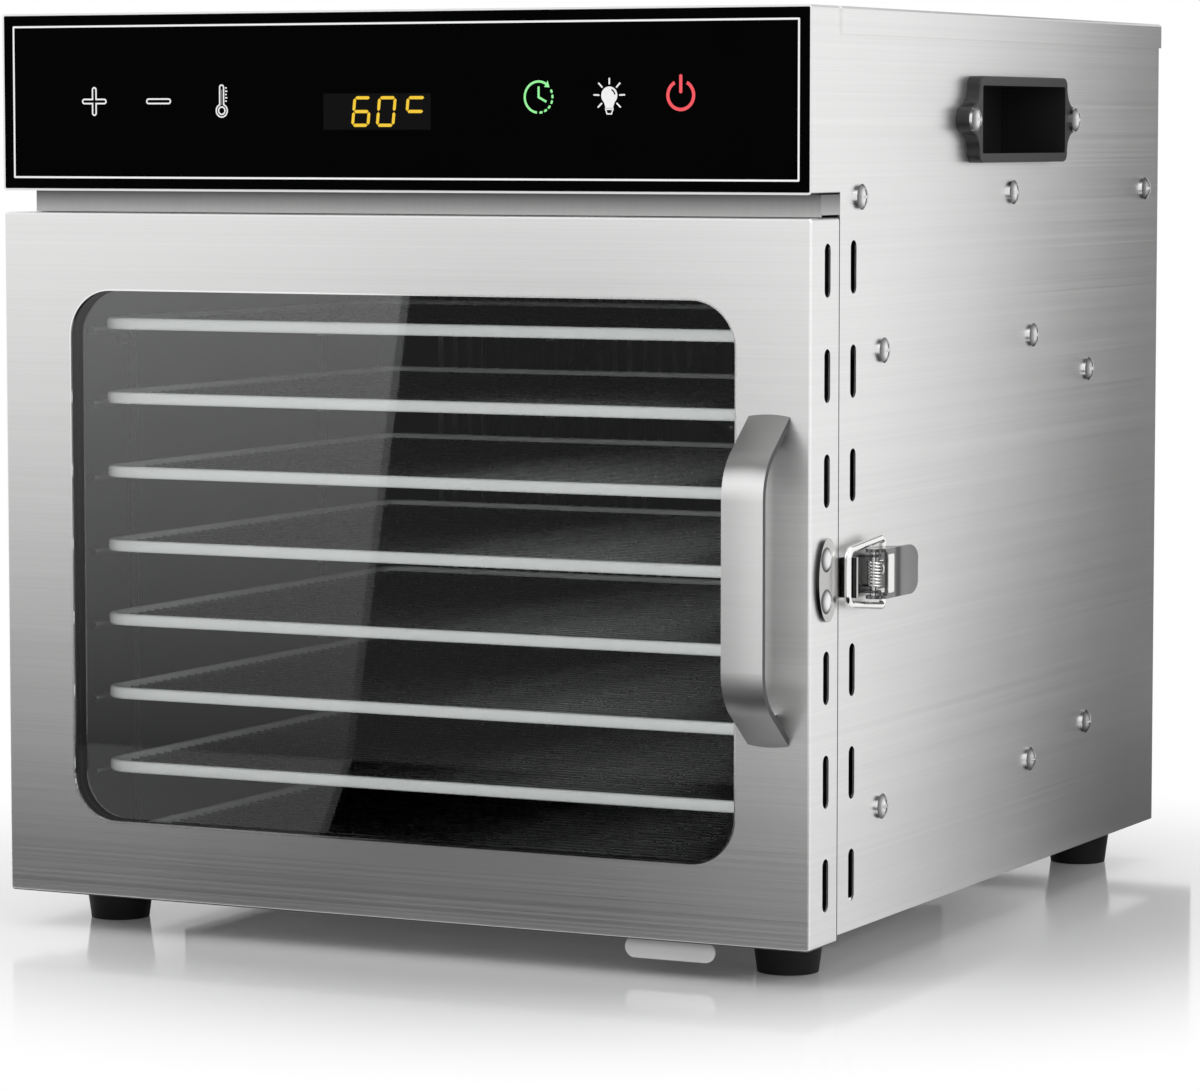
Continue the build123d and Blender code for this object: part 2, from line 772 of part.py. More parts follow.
# Wire trays: a round rim with a square net in it
net_half = tray_half - net_edge
net_depth = tray_back - tray_front - 2 * net_edge
gap_width = (2 * net_half - (net_columns - 1) * net_bar) / net_columns
gap_depth = (net_depth - (net_rows - 1) * net_bar) / net_rows
tray_mid = (tray_front + tray_back) / 2

with BuildPart() as wire_tray:
    with BuildSketch(Plane.XY.offset(tray_levels[0] - net_thickness / 2)):
        with Locations((0, tray_mid)):
            RectangleRounded(2 * tray_half, tray_back - tray_front, tray_corner)
            with GridLocations(gap_width + net_bar, gap_depth + net_bar, net_columns, net_rows):
                Rectangle(gap_width, gap_depth, mode=Mode.SUBTRACT)
    extrude(amount=net_thickness)
    with BuildLine(Plane.XY.offset(tray_levels[0])) as rim:
        FilletPolyline(
            (-tray_half, tray_front),
            (tray_half, tray_front),
            (tray_half, tray_back),
            (-tray_half, tray_back),
            radius=tray_corner,
            close=True,
        )
    with BuildSketch(Plane(origin=rim.line @ 0, z_dir=rim.line % 0)):
        Circle(rim_radius)
    sweep()


def stacked_tray(number):
    """One of the equal trays, counted from the lowest."""
    with BuildPart() as tray:
        with Locations((0, 0, (number - 1) * tray_pitch)):
            add(wire_tray.part)
    return tray.part


# Crumb tray under the bottom pan, with a pull tab, and its two runners
crumb_top = door_bottom - crumb_play  # passes under the door
crumb_bottom = crumb_top - crumb_height
tab_front = door_front + crumb_tab_setback
with BuildPart() as crumb_tray:
    with BuildSketch(Plane.XY.offset(crumb_bottom)):
        with Locations((0, crumb_mid)):
            Rectangle(crumb_width, crumb_depth)
    extrude(amount=crumb_height)
    with BuildSketch(Plane.XY.offset(crumb_bottom + crumb_sheet)):
        with Locations((0, crumb_mid)):
            Rectangle(crumb_width - 2 * crumb_sheet, crumb_depth - 2 * crumb_sheet)
    extrude(amount=crumb_height - crumb_sheet, mode=Mode.SUBTRACT)
    with BuildSketch(Plane.XY.offset(crumb_top - crumb_sheet)):
        with Locations((crumb_tab_offset, (tab_front + crumb_front) / 2)):
            Rectangle(crumb_tab_width, crumb_front - tab_front)
    extrude(amount=crumb_sheet)
    with BuildSketch(across(tab_front)):
        with Locations((crumb_tab_offset, (crumb_lip_floor + crumb_top) / 2)):
            lip_face = Rectangle(crumb_tab_width, crumb_top - crumb_lip_floor)
        fillet(lip_face.vertices().group_by(Axis.Z)[0], crumb_tab_corner)
    extrude(amount=-crumb_sheet)

runner_x = crumb_width / 2 + crumb_play
runner_bottom = crumb_bottom - crumb_play - runner_sheet
with BuildPart() as crumb_tray_runners:
    for side in (-1, 1):
        with BuildSketch(across(crumb_front)):
            with BuildLine():
                Polyline(
                    (side * runner_x, cabinet_bottom),
                    (side * (runner_x + runner_sheet), cabinet_bottom),
                    (side * (runner_x + runner_sheet), runner_bottom),
                    (side * (runner_x - runner_lip), runner_bottom),
                    (side * (runner_x - runner_lip), runner_bottom + runner_sheet),
                    (side * runner_x, runner_bottom + runner_sheet),
                    close=True,
                )
            make_face()
        extrude(amount=-crumb_depth)


# Fan motor on two posts, fan, shaft, heating element
motor_front = rear_inside - motor_post_length - motor_stack
bearing_front = motor_front - motor_bearing_length
hub_back = bearing_front - fan_stand_off
hub_front = hub_back - fan_hub_length
fan_mid = (hub_front + hub_back) / 2
with BuildPart() as fan_motor:
    with BuildSketch(across(motor_front)):
        with Locations((0, fan_level)):
            RectangleRounded(motor_size, motor_size, motor_post_radius)
    extrude(amount=-motor_stack)
    with BuildSketch(across(bearing_front)):
        with Locations((0, fan_level)):
            Circle(motor_bearing_radius)
    extrude(amount=-motor_bearing_length)
    with BuildSketch(across(motor_front + motor_stack)):
        with Locations(*motor_post_points):
            Circle(motor_post_radius)
    extrude(amount=-motor_post_length)
    with BuildSketch(across(rear_inside)):
        with Locations(*motor_post_points):
            Circle(screw_hole)
    extrude(amount=rear_screw_length, mode=Mode.SUBTRACT)
    with BuildSketch(across(bearing_front)):
        with Locations((0, fan_level)):
            Circle(shaft_radius + shaft_play)
    extrude(amount=-motor_bearing_length - motor_stack / 2, mode=Mode.SUBTRACT)

with BuildPart() as fan_shaft:
    with BuildSketch(across(hub_front)):
        with Locations((0, fan_level)):
            Circle(shaft_radius)
    extrude(amount=-(bearing_front - hub_front + motor_bearing_length))

with BuildPart() as fan_blades:
    with BuildSketch(across(hub_front)):
        with Locations((0, fan_level)):
            Circle(fan_hub_radius)
    extrude(amount=-fan_hub_length)
    for blade in range(fan_blades_count):
        turn = 2 * math.pi * blade / fan_blades_count
        lean = math.radians(fan_pitch_angle)
        radial = Vector(math.cos(turn), 0, math.sin(turn))
        facing = Vector(-math.sin(turn) * math.sin(lean), math.cos(lean), math.cos(turn) * math.sin(lean))
        blade_plane = Plane(origin=(0, fan_mid, fan_level), x_dir=radial, z_dir=facing)
        root = fan_hub_radius - fan_blade_thickness
        with BuildSketch(blade_plane):
            with BuildLine():
                Polyline(
                    (fan_radius, fan_blade_chord / 2),
                    (root, fan_root_chord / 2),
                    (root, -fan_root_chord / 2),
                    (fan_radius, -fan_blade_chord / 2),
                )
                ThreePointArc(
                    (fan_radius, -fan_blade_chord / 2),
                    (fan_radius + fan_tip_bulge, 0),
                    (fan_radius, fan_blade_chord / 2),
                )
            make_face()
        extrude(amount=fan_blade_thickness / 2, both=True)
    with BuildSketch(across(hub_front)):
        with Locations((0, fan_level)):
            Circle(shaft_radius)
    extrude(amount=-fan_hub_length, mode=Mode.SUBTRACT)

heater_y = baffle_back + heater_stand
heater_ends = [math.radians(-90 + way * heater_gap_angle / 2) for way in (-1, 1)]
with BuildPart() as heater_element:
    with BuildLine(across(heater_y)) as ring:
        CenterArc((0, fan_level), heater_radius, -90 + heater_gap_angle / 2, 360 - heater_gap_angle)
    with BuildSketch(Plane(origin=ring.line @ 0, z_dir=ring.line % 0)):
        Circle(heater_tube)
    sweep()
    with BuildSketch(across(baffle_back)):
        with Locations(*[
            (heater_radius * math.cos(end), fan_level + heater_radius * math.sin(end)) for end in heater_ends
        ]):
            Circle(heater_tube + sheet)
    extrude(amount=-heater_stand - heater_tube)


# Chamber lamp: a cup through the baffle with a bezel, and a domed lens
with BuildPart() as lamp_holder:
    with BuildSketch(across(baffle_front - lamp_bezel_thickness)):
        with Locations((lamp_x, lamp_level)):
            Circle(lamp_bezel)
    extrude(amount=-lamp_bezel_thickness)
    with BuildSketch(across(baffle_front)):
        with Locations((lamp_x, lamp_level)):
            Circle(lamp_radius)
    extrude(amount=-lamp_body_depth)
    with BuildSketch(across(baffle_front - lamp_bezel_thickness)):
        with Locations((lamp_x, lamp_level)):
            Circle(lamp_radius - lamp_wall)
    extrude(amount=-lamp_body_depth, mode=Mode.SUBTRACT)

with BuildPart() as lamp_lens:
    lens_back = baffle_front - lamp_bezel_thickness
    with BuildSketch(Plane(origin=(lamp_x, lens_back, lamp_level), z_dir=(0, 0, 1))):
        with BuildLine():
            Polyline((0, -lamp_dome), (0, 0), (lamp_radius, 0))
            TangentArc((0, -lamp_dome), (lamp_radius, 0), tangent=(1, 0))
        make_face()
    revolve(axis=Axis((lamp_x, baffle_front, lamp_level), (0, 1, 0)))


# Temperature probe through the baffle, with its nut behind
with BuildPart() as temperature_probe:
    with BuildSketch(across(baffle_front - probe_reach)):
        with Locations((probe_x, probe_level)):
            Circle(probe_radius)
    extrude(amount=-(probe_reach + sheet + probe_tail))
    with BuildSketch(across(baffle_back)):
        with Locations((probe_x, probe_level)):
            RegularPolygon(probe_nut_radius, 6)
    extrude(amount=-probe_nut)
    fillet(temperature_probe.edges().filter_by(GeomType.CIRCLE).sort_by(Axis.Y)[0], probe_radius / 2)


# Power board on the ceiling's pillars
power_level = chamber_ceiling + sheet + power_pillar_height
with BuildPart() as power_board:
    with BuildSketch(Plane.XY.offset(power_level)):
        with Locations((0, cabinet_mid)):
            Rectangle(power_board_width, power_board_depth)
    extrude(amount=board_thickness)
    with BuildSketch(Plane.XY.offset(power_level + board_thickness)):
        with Locations((-power_board_width / 4, cabinet_mid)):
            Rectangle(2 * connector_size, 2 * connector_size)
        with Locations((power_board_width / 4, cabinet_mid + power_board_depth / 3)):
            Rectangle(terminal_width, connector_size)
    extrude(amount=connector_size)
    with BuildSketch(Plane.XY.offset(power_level + board_thickness)):
        with Locations((power_board_width / 4, cabinet_mid - power_board_depth / 4)):
            with GridLocations(capacitor_pitch, 0, 2, 1):
                Circle(capacitor_radius)
    extrude(amount=capacitor_height)


# Cord gland through the rear panel, with its nut inside
with BuildPart() as cable_gland:
    with BuildSketch(across(cabinet_back)):
        with Locations((gland_x, gland_level)):
            RegularPolygon(gland_flange, 6)
    extrude(amount=-gland_reach / 2)
    with BuildSketch(across(cabinet_back + gland_reach / 2)):
        with Locations((gland_x, gland_level)):
            Circle(gland_cap)
    extrude(amount=-gland_reach / 2)
    with BuildSketch(across(rear_inside)):
        with Locations((gland_x, gland_level)):
            Circle(gland_neck)
    extrude(amount=-sheet)
    with BuildSketch(across(rear_inside - gland_nut)):
        with Locations((gland_x, gland_level)):
            RegularPolygon(gland_flange, 6)
    extrude(amount=-gland_nut)
    with BuildSketch(across(rear_inside - gland_nut)):
        with Locations((gland_x, gland_level)):
            Circle(gland_bore)
    extrude(amount=-(gland_nut + sheet + gland_reach), mode=Mode.SUBTRACT)


# Side grips: a lobed face plate with a hand recess behind it
lobe_out = (grip_lobe_pitch - grip_length) / 2  # lobe centre past the plate's end
lobe_flank = grip_lobe_radius + grip_blend
lobe_rise = math.sqrt(lobe_flank**2 - (grip_blend - lobe_out) ** 2)  # flank's start above the middle
lobe_share = grip_lobe_radius / lobe_flank
lobe_touch_x = grip_lobe_pitch / 2 + lobe_share * (grip_blend - lobe_out)
lobe_touch_y = lobe_share * lobe_rise
hand_length = grip_length - 2 * grip_end_border
hand_height = grip_height - 2 * grip_border


ear_top = (grip_length / 2, lobe_rise)
ear_foot = (grip_length / 2, -lobe_rise)
lobe_top = (lobe_touch_x, lobe_touch_y)
lobe_foot = (lobe_touch_x, -lobe_touch_y)
pocket_length = hand_length + 2 * grip_wall
pocket_height = hand_height + 2 * grip_wall


def side_grip(side):
    """Recessed carrying grip, screwed to the side panel at its two lobes."""
    place = outward(side, cabinet_mid, grip_level)
    with BuildPart() as grip:
        with BuildSketch(place):
            RectangleRounded(grip_length, grip_height, grip_corner)
            with BuildLine():
                flank = TangentArc(ear_top, lobe_top, tangent=(0, -1))
                tip = TangentArc(lobe_top, lobe_foot, tangent=flank % 1)
                TangentArc(lobe_foot, ear_foot, tangent=tip % 1)
                Line(ear_foot, ear_top)
            make_face()
            mirror(about=Plane.YZ)
        extrude(amount=grip_stand)
        face = grip.faces().sort_by(Axis((0, 0, 0), (side, 0, 0)))[-1]
        fillet(face.edges(), grip_edge)
        with BuildSketch(place):
            RectangleRounded(pocket_length, pocket_height, hand_corner + grip_wall)
        extrude(amount=-grip_depth)
        with BuildSketch(place.offset(grip_stand)):
            RectangleRounded(hand_length, hand_height, hand_corner)
        extrude(amount=-(grip_stand + grip_depth - grip_wall), mode=Mode.SUBTRACT)
        seats = [outward(side, depth, grip_level).offset(grip_stand) for depth in grip_screw_depths]
        with Locations(*seats):
            Hole(screw_hole, depth=grip_stand)
    return grip.part


# Rubber feet with a screw recess
with BuildPart() as rubber_feet:
    for x, y in foot_places:
        with BuildSketch(Plane(origin=(x, y, 0), x_dir=(1, 0, 0), z_dir=(0, -1, 0))):
            with BuildLine():
                Polyline(
                    (screw_hole, foot_height),
                    (foot_top_radius, foot_height),
                    (foot_tip_radius, 0),
                    (foot_recess_radius, 0),
                    (foot_recess_radius, foot_height - foot_web),
                    (screw_hole, foot_height - foot_web),
                    close=True,
                )
            make_face()
        revolve(axis=Axis((x, y, 0), (0, 0, 1)))


# Screws of the casing, racks, grips, hinges, rear panel and feet
rack_screw_length = side_wall + (chamber_half - post_x) - post_radius
with BuildPart() as casing_screws:
    for side in (-1, 1):
        with Locations(*[outward(side, depth, level) for depth, level in casing_points]):
            add(pan_head_screw(casing_screw_length))
        with Locations(*[outward(side, depth, level).offset(grip_stand) for depth, level in grip_points]):
            add(pan_head_screw(casing_screw_length + grip_stand))
        with Locations(*[outward(side, depth, level) for depth, level in rack_points]):
            add(pan_head_screw(rack_screw_length))
    with Locations(*[outward(-1, depth, level).offset(hinge_leaf) for depth, level in cabinet_hinge_points]):
        add(pan_head_screw(casing_screw_length))
    rear_places = [(x, cabinet_back, z) for x, z in rear_screw_points + motor_post_points]
    with Locations(*[Plane(origin=place, x_dir=(1, 0, 0), z_dir=(0, 1, 0)) for place in rear_places]):
        add(pan_head_screw(rear_screw_length))
    foot_seats = [(x, y, foot_height - foot_web) for x, y in foot_places]
    with Locations(*[Plane(origin=seat, x_dir=(1, 0, 0), z_dir=(0, 0, -1)) for seat in foot_seats]):
        add(pan_head_screw(foot_web + sheet + foot_screw_tail))


# Hinges: a cabinet leaf with two end knuckles, a door leaf with the middle one, and a pin
knuckle_length = hinge_height / 3


def hinge_leaves(way):
    """Both leaves on one side of the pin: way is 1 for the cabinet, -1 for the door."""
    points = cabinet_hinge_points if way > 0 else door_hinge_points
    own_bore = hinge_pin if way > 0 else hinge_pin + pin_play
    own_ranges = ((0, 1), (2, 3)) if way > 0 else ((1, 2),)
    other_ranges = ((1, 2),) if way > 0 else ((0, 1), (2, 3))
    leaf_start = hinge_y + way * door_gap / 2
    with BuildPart() as leaves:
        for level in hinge_levels:
            foot = level - hinge_height / 2
            with BuildSketch(along(-half_width - hinge_leaf)):
                with Locations((leaf_start + way * hinge_leaf_width / 2, level)):
                    Rectangle(hinge_leaf_width, hinge_height)
            extrude(amount=hinge_leaf)
            for start, stop in own_ranges:
                inset = hinge_play / 2
                with BuildSketch(Plane.XY.offset(foot + start * knuckle_length + inset)):
                    with Locations((hinge_x, hinge_y)):
                        Circle(hinge_knuckle)
                extrude(amount=(stop - start) * knuckle_length - 2 * inset)
            for start, stop in other_ranges:
                with BuildSketch(Plane.XY.offset(foot + start * knuckle_length - hinge_play / 2)):
                    with Locations((hinge_x, hinge_y)):
                        Circle(hinge_knuckle + hinge_play)
                extrude(amount=(stop - start) * knuckle_length + hinge_play, mode=Mode.SUBTRACT)
            with BuildSketch(Plane.XY.offset(foot)):
                with Locations((hinge_x, hinge_y)):
                    Circle(own_bore)
            extrude(amount=hinge_height, mode=Mode.SUBTRACT)
        with Locations(*[outward(-1, depth, level).offset(hinge_leaf) for depth, level in points]):
            Hole(screw_hole, depth=hinge_leaf)
    return leaves.part


with BuildPart() as hinge_pins:
    for level in hinge_levels:
        with BuildSketch(Plane.XY.offset(level - hinge_height / 2)):
            with Locations((hinge_x, hinge_y)):
                Circle(hinge_pin)
        extrude(amount=hinge_height)


# Draw latch: base with two ears, pin, coil spring, lever and wire bail
pivot_x = half_width + pivot_stand
pivot_y = cabinet_front + pivot_depth
bail_pivot_x = pivot_x - toggle_dip
bail_pivot_y = pivot_y + math.sqrt(toggle**2 - toggle_dip**2)
ear_outside = ear_gap / 2 + ear_thickness
cheek_inside = lever_height / 2 - lever_sheet
with BuildPart() as latch_base:
    with BuildSketch(along(half_width)):
        with Locations((cabinet_front + (base_front + base_rear) / 2, latch_level)):
            Rectangle(base_rear - base_front, 2 * ear_outside)
        with Locations(*latch_rivet_points):
            Circle(rivet_radius + screw_play, mode=Mode.SUBTRACT)
    extrude(amount=base_sheet)
    for start in (-ear_outside, ear_gap / 2):
        with BuildSketch(Plane.XY.offset(latch_level + start)):
            with Locations((half_width + pivot_stand / 2, pivot_y)):
                Rectangle(pivot_stand, 2 * ear_radius)
            with Locations((pivot_x, pivot_y)):
                Circle(ear_radius)
                Circle(hinge_pin, mode=Mode.SUBTRACT)
        extrude(amount=ear_thickness)

with BuildPart() as latch_pin:
    with BuildSketch(Plane.XY.offset(latch_level - lever_height / 2)):
        with Locations((pivot_x, pivot_y)):
            Circle(hinge_pin)
    extrude(amount=lever_height)

with BuildPart() as latch_rivets:
    with Locations(*[outward(1, depth, level).offset(base_sheet) for depth, level in latch_rivet_points]):
        add(rivet(base_rivet_head, base_rivet_cap, base_sheet + sheet))

web_in = half_width + lever_web_stand - lever_sheet
web_out = half_width + lever_web_stand
tip_in = half_width + lever_tip_stand - lever_sheet
tip_out = half_width + lever_tip_stand
web_y = pivot_y + lever_web_setback
straight_y = cabinet_front + lever_straight
tip_y = cabinet_front + lever_tip_depth
with BuildPart() as latch_lever:
    with BuildSketch(Plane.XY.offset(latch_level - lever_height / 2)):
        with BuildLine():
            Polyline((web_out, straight_y), (web_out, web_y), (web_in, web_y), (web_in, straight_y))
            TangentArc((web_in, straight_y), (tip_in, tip_y), tangent=(0, 1))
            Line((tip_in, tip_y), (tip_out, tip_y))
            TangentArc((web_out, straight_y), (tip_out, tip_y), tangent=(0, 1))
        make_face()
    extrude(amount=lever_height)
    with BuildSketch(along(half_width)):
        with Locations((pivot_y, latch_level)):
            blank = Rectangle(tip_y - pivot_y, lever_height, align=(Align.MIN, Align.CENTER))
        fillet(blank.vertices().group_by(Axis.X)[-1], lever_corner)
    extrude(amount=lever_tip_stand, mode=Mode.INTERSECT)
    for start in (-lever_height / 2, cheek_inside):
        with BuildSketch(Plane.XY.offset(latch_level + start)):
            with BuildLine():
                Polyline(
                    (web_out, pivot_y),
                    (web_out, straight_y),
                    (web_in, straight_y),
                    (bail_pivot_x - lever_nose, bail_pivot_y),
                    (pivot_x - lever_nose, pivot_y),
                    close=True,
                )
            make_face()
            with Locations((pivot_x, pivot_y), (bail_pivot_x, bail_pivot_y)):
                Circle(lever_nose)
            with Locations((pivot_x, pivot_y)):
                Circle(hinge_pin + pin_play, mode=Mode.SUBTRACT)
            with Locations((bail_pivot_x, bail_pivot_y)):
                Circle(bail_radius + pin_play, mode=Mode.SUBTRACT)
        extrude(amount=lever_sheet)

lip_front = cabinet_front + keeper_sheet
bar_x = half_width + bail_bar_stand
bar_y = lip_front - bail_play - bail_radius
bail_half = bail_height / 2 - bail_radius
bar_half = bail_bar_height / 2 - bail_radius
bail_end = cheek_inside - hinge_play
with BuildPart() as latch_bail:
    with BuildLine() as wire:
        FilletPolyline(
            (bail_pivot_x, bail_pivot_y, latch_level - bail_end),
            (bail_pivot_x, bail_pivot_y, latch_level - bail_half),
            (bar_x, bar_y, latch_level - bar_half),
            (bar_x, bar_y, latch_level + bar_half),
            (bail_pivot_x, bail_pivot_y, latch_level + bail_half),
            (bail_pivot_x, bail_pivot_y, latch_level + bail_end),
            radius=[bail_end_bend, bail_bend, bail_bend, bail_end_bend],
        )
    with BuildSketch(Plane(origin=wire.line @ 0, z_dir=wire.line % 0)):
        Circle(bail_radius)
    sweep()


coil_half = coil_turns * coil_pitch / 2
coil_leg = pivot_stand - base_sheet
coil_hook = lever_web_stand - lever_sheet - pivot_stand - hinge_play
with BuildPart() as latch_spring:
    with BuildSketch(Plane.XY.offset(latch_level - coil_half - coil_wire)):
        with Locations((pivot_x, pivot_y)):
            Circle(coil_radius + coil_wire)
            Circle(coil_radius - coil_wire, mode=Mode.SUBTRACT)
    extrude(amount=2 * (coil_half + coil_wire))
    for rise, reach in ((coil_wire - coil_half, -coil_leg), (coil_half - coil_wire, coil_hook)):
        with BuildSketch(Plane(origin=(pivot_x, pivot_y + coil_radius, latch_level + rise), z_dir=(1, 0, 0))):
            Circle(coil_end_wire)
        extrude(amount=reach)


# Keeper on the door's side: oval plate, tongue over the seam and an upturned lip
keeper_mid = door_front + (keeper_front + keeper_rear) / 2
keeper_rivet_points = [
    (door_front + keeper_rivet_depth, latch_level + way * keeper_rivet_pitch / 2) for way in (-1, 1)
]
with BuildPart() as latch_keeper:
    with BuildSketch(along(half_width)):
        with Locations((keeper_mid, latch_level)):
            Ellipse((keeper_rear - keeper_front) / 2, keeper_height / 2)
        with Locations((keeper_mid, latch_level)):
            Rectangle(lip_front + keeper_sheet - keeper_mid, tongue_height, align=(Align.MIN, Align.CENTER))
        with Locations(*keeper_rivet_points):
            Circle(rivet_radius + screw_play, mode=Mode.SUBTRACT)
    extrude(amount=keeper_sheet)
    with BuildSketch(across(lip_front)):
        with Locations((half_width + lip_height / 2, latch_level)):
            Rectangle(lip_height, tongue_height)
    extrude(amount=-keeper_sheet)
    with BuildSketch(along(half_width)):
        with Locations((cabinet_front - door_gap, latch_level)):
            Rectangle(lip_front + keeper_sheet - door_back, tongue_height, align=(Align.MIN, Align.CENTER))
    extrude(amount=tongue_lift, mode=Mode.SUBTRACT)

with BuildPart() as keeper_rivets:
    with Locations(*[outward(1, depth, level).offset(keeper_sheet) for depth, level in keeper_rivet_points]):
        add(rivet(rivet_head_radius, rivet_head_height, keeper_sheet + sheet))


# Door: pressed pan, window glass, retainer, inner frame and gasket
handle_x = half_width - handle_inset
handle_low = latch_level - handle_length / 2
handle_high = latch_level + handle_length / 2
handle_screw_levels = (handle_low + handle_screw_inset, handle_high - handle_screw_inset)
with BuildPart() as door_shell:
    with BuildSketch(across(door_front)):
        with Locations((0, door_mid)):
            Rectangle(cabinet_width, door_height)
    extrude(amount=-door_thickness)
    fillet(door_shell.edges().filter_by(Axis.Y), bend)
    fillet(door_shell.faces().sort_by(Axis.Y)[0].edges(), bend - sheet / 2)
    with BuildSketch(across(door_front + sheet)):
        with Locations((0, door_mid)):
            RectangleRounded(cabinet_width - 2 * sheet, door_height - 2 * sheet, bend - sheet)
    extrude(amount=-(door_thickness - sheet), mode=Mode.SUBTRACT)
    with BuildSketch(across(door_front)):
        with Locations((0, door_mid)):
            RectangleRounded(window_width, window_height, window_corner)
        with Locations(*[(handle_x, level) for level in handle_screw_levels]):
            Circle(screw_hole)
    extrude(amount=-sheet, mode=Mode.SUBTRACT)
    with BuildSketch(along(inner_half)):
        with Locations(*[(door_front + door_slot_depth, level) for level in slot_levels]):
            SlotOverall(slot_length, slot_width, rotation=90)
        with Locations(*keeper_rivet_points):
            Circle(rivet_radius + screw_play)
    extrude(amount=sheet, mode=Mode.SUBTRACT)
    with BuildSketch(along(-half_width)):
        with Locations(*[(door_front + door_slot_depth, level) for level in hinge_side_levels]):
            SlotOverall(slot_length, slot_width, rotation=90)
        with Locations(*door_hinge_points):
            Circle(screw_hole)
    extrude(amount=sheet, mode=Mode.SUBTRACT)

glass_width = window_width + 2 * glass_overlap
glass_height = window_height + 2 * glass_overlap
with BuildPart() as door_glass:
    with BuildSketch(across(door_front + sheet)):
        with Locations((0, door_mid)):
            RectangleRounded(glass_width, glass_height, glass_overlap)
    extrude(amount=-glass_thickness)

retainer_width = glass_width + 2 * (glass_play + retainer_thickness)
retainer_height = glass_height + 2 * (glass_play + retainer_thickness)
with BuildPart() as glass_retainer:
    with BuildSketch(across(door_front + sheet)):
        with Locations((0, door_mid)):
            Rectangle(retainer_width, retainer_height)
            Rectangle(glass_width + 2 * glass_play, glass_height + 2 * glass_play, mode=Mode.SUBTRACT)
    extrude(amount=-glass_thickness)
    with BuildSketch(across(door_front + sheet + glass_thickness)):
        with Locations((0, door_mid)):
            Rectangle(retainer_width, retainer_height)
            RectangleRounded(window_width, window_height, window_corner, mode=Mode.SUBTRACT)
    extrude(amount=-retainer_thickness)

gasket_front = cabinet_front - gasket_play - gasket_thickness
inner_frame_front = gasket_front - sheet
opening_mid = (opening_bottom + opening_top) / 2
gasket_inner_width = 2 * (opening_half + gasket_inset)
gasket_inner_height = opening_top - opening_bottom + 2 * gasket_inset
with BuildPart() as door_inner_frame:
    with BuildSketch(across(inner_frame_front)):
        with Locations((0, door_mid)):
            RectangleRounded(cabinet_width - 2 * sheet, door_height - 2 * sheet, bend - sheet)
        with Locations((0, opening_mid)):
            Rectangle(2 * opening_half, opening_top - opening_bottom, mode=Mode.SUBTRACT)
    extrude(amount=-sheet)

with BuildPart() as door_gasket:
    with BuildSketch(across(gasket_front)):
        with Locations((0, opening_mid)):
            Rectangle(gasket_inner_width + 2 * gasket_width, gasket_inner_height + 2 * gasket_width)
            Rectangle(gasket_inner_width, gasket_inner_height, mode=Mode.SUBTRACT)
    extrude(amount=-gasket_thickness)


# Bow handle: a crowned strip with sloping legs, each on a narrow heel
strip_half = handle_thickness / 2 + handle_crown
grip_y = door_front - handle_reach + strip_half
leg = math.radians(handle_slope)
leg_run = (door_front - grip_y) / math.tan(leg)
leg_corner = handle_length / 2 - leg_run - strip_half / math.sin(leg)  # leg's upper end
leg_toe = leg_corner + leg_run
leg_over = 2 * strip_half  # strip past the door's front, cut off below
leg_end = leg_toe + leg_over / math.tan(leg)
with BuildPart() as door_handle:
    with BuildLine() as bow:
        FilletPolyline(
            (handle_x, door_front + leg_over, latch_level - leg_end),
            (handle_x, grip_y, latch_level - leg_corner),
            (handle_x, grip_y, latch_level + leg_corner),
            (handle_x, door_front + leg_over, latch_level + leg_end),
            radius=handle_bend,
        )
    with BuildSketch(Plane(origin=bow.line @ 0, x_dir=(1, 0, 0), z_dir=bow.line % 0)):
        with BuildLine():
            Polyline(
                (handle_width / 2, -handle_thickness / 2),
                (handle_width / 2, handle_thickness / 2),
                (-handle_width / 2, handle_thickness / 2),
                (-handle_width / 2, -handle_thickness / 2),
            )
            ThreePointArc(
                (-handle_width / 2, -handle_thickness / 2),
                (0, -handle_thickness / 2 - handle_crown),
                (handle_width / 2, -handle_thickness / 2),
            )
        make_face()
    sweep()
    split(bisect_by=across(door_front), keep=Keep.TOP)
    for way in (-1, 1):
        heel_level = latch_level + way * (leg_toe - handle_heel)
        with BuildSketch(along(handle_x - handle_heel_width / 2)):
            with BuildLine():
                Polyline(
                    (door_front, latch_level + way * leg_toe),
                    (door_front, heel_level),
                    (door_front - handle_heel * math.tan(leg), heel_level),
                    close=True,
                )
            make_face()
        extrude(amount=handle_heel_width)
    with BuildSketch(across(door_front)):
        with Locations(*[(handle_x, level) for level in handle_screw_levels]):
            Circle(screw_hole)
    extrude(amount=handle_screw_bite, mode=Mode.SUBTRACT)


# Door screws: hinge leaves from outside, handle heels from inside
with BuildPart() as door_screws:
    with Locations(*[outward(-1, depth, level).offset(hinge_leaf) for depth, level in door_hinge_points]):
        add(pan_head_screw(casing_screw_length))
    handle_seats = [(handle_x, door_front + sheet, level) for level in handle_screw_levels]
    with Locations(*[Plane(origin=seat, x_dir=(1, 0, 0), z_dir=(0, 1, 0)) for seat in handle_seats]):
        add(pan_head_screw(sheet + handle_screw_bite))


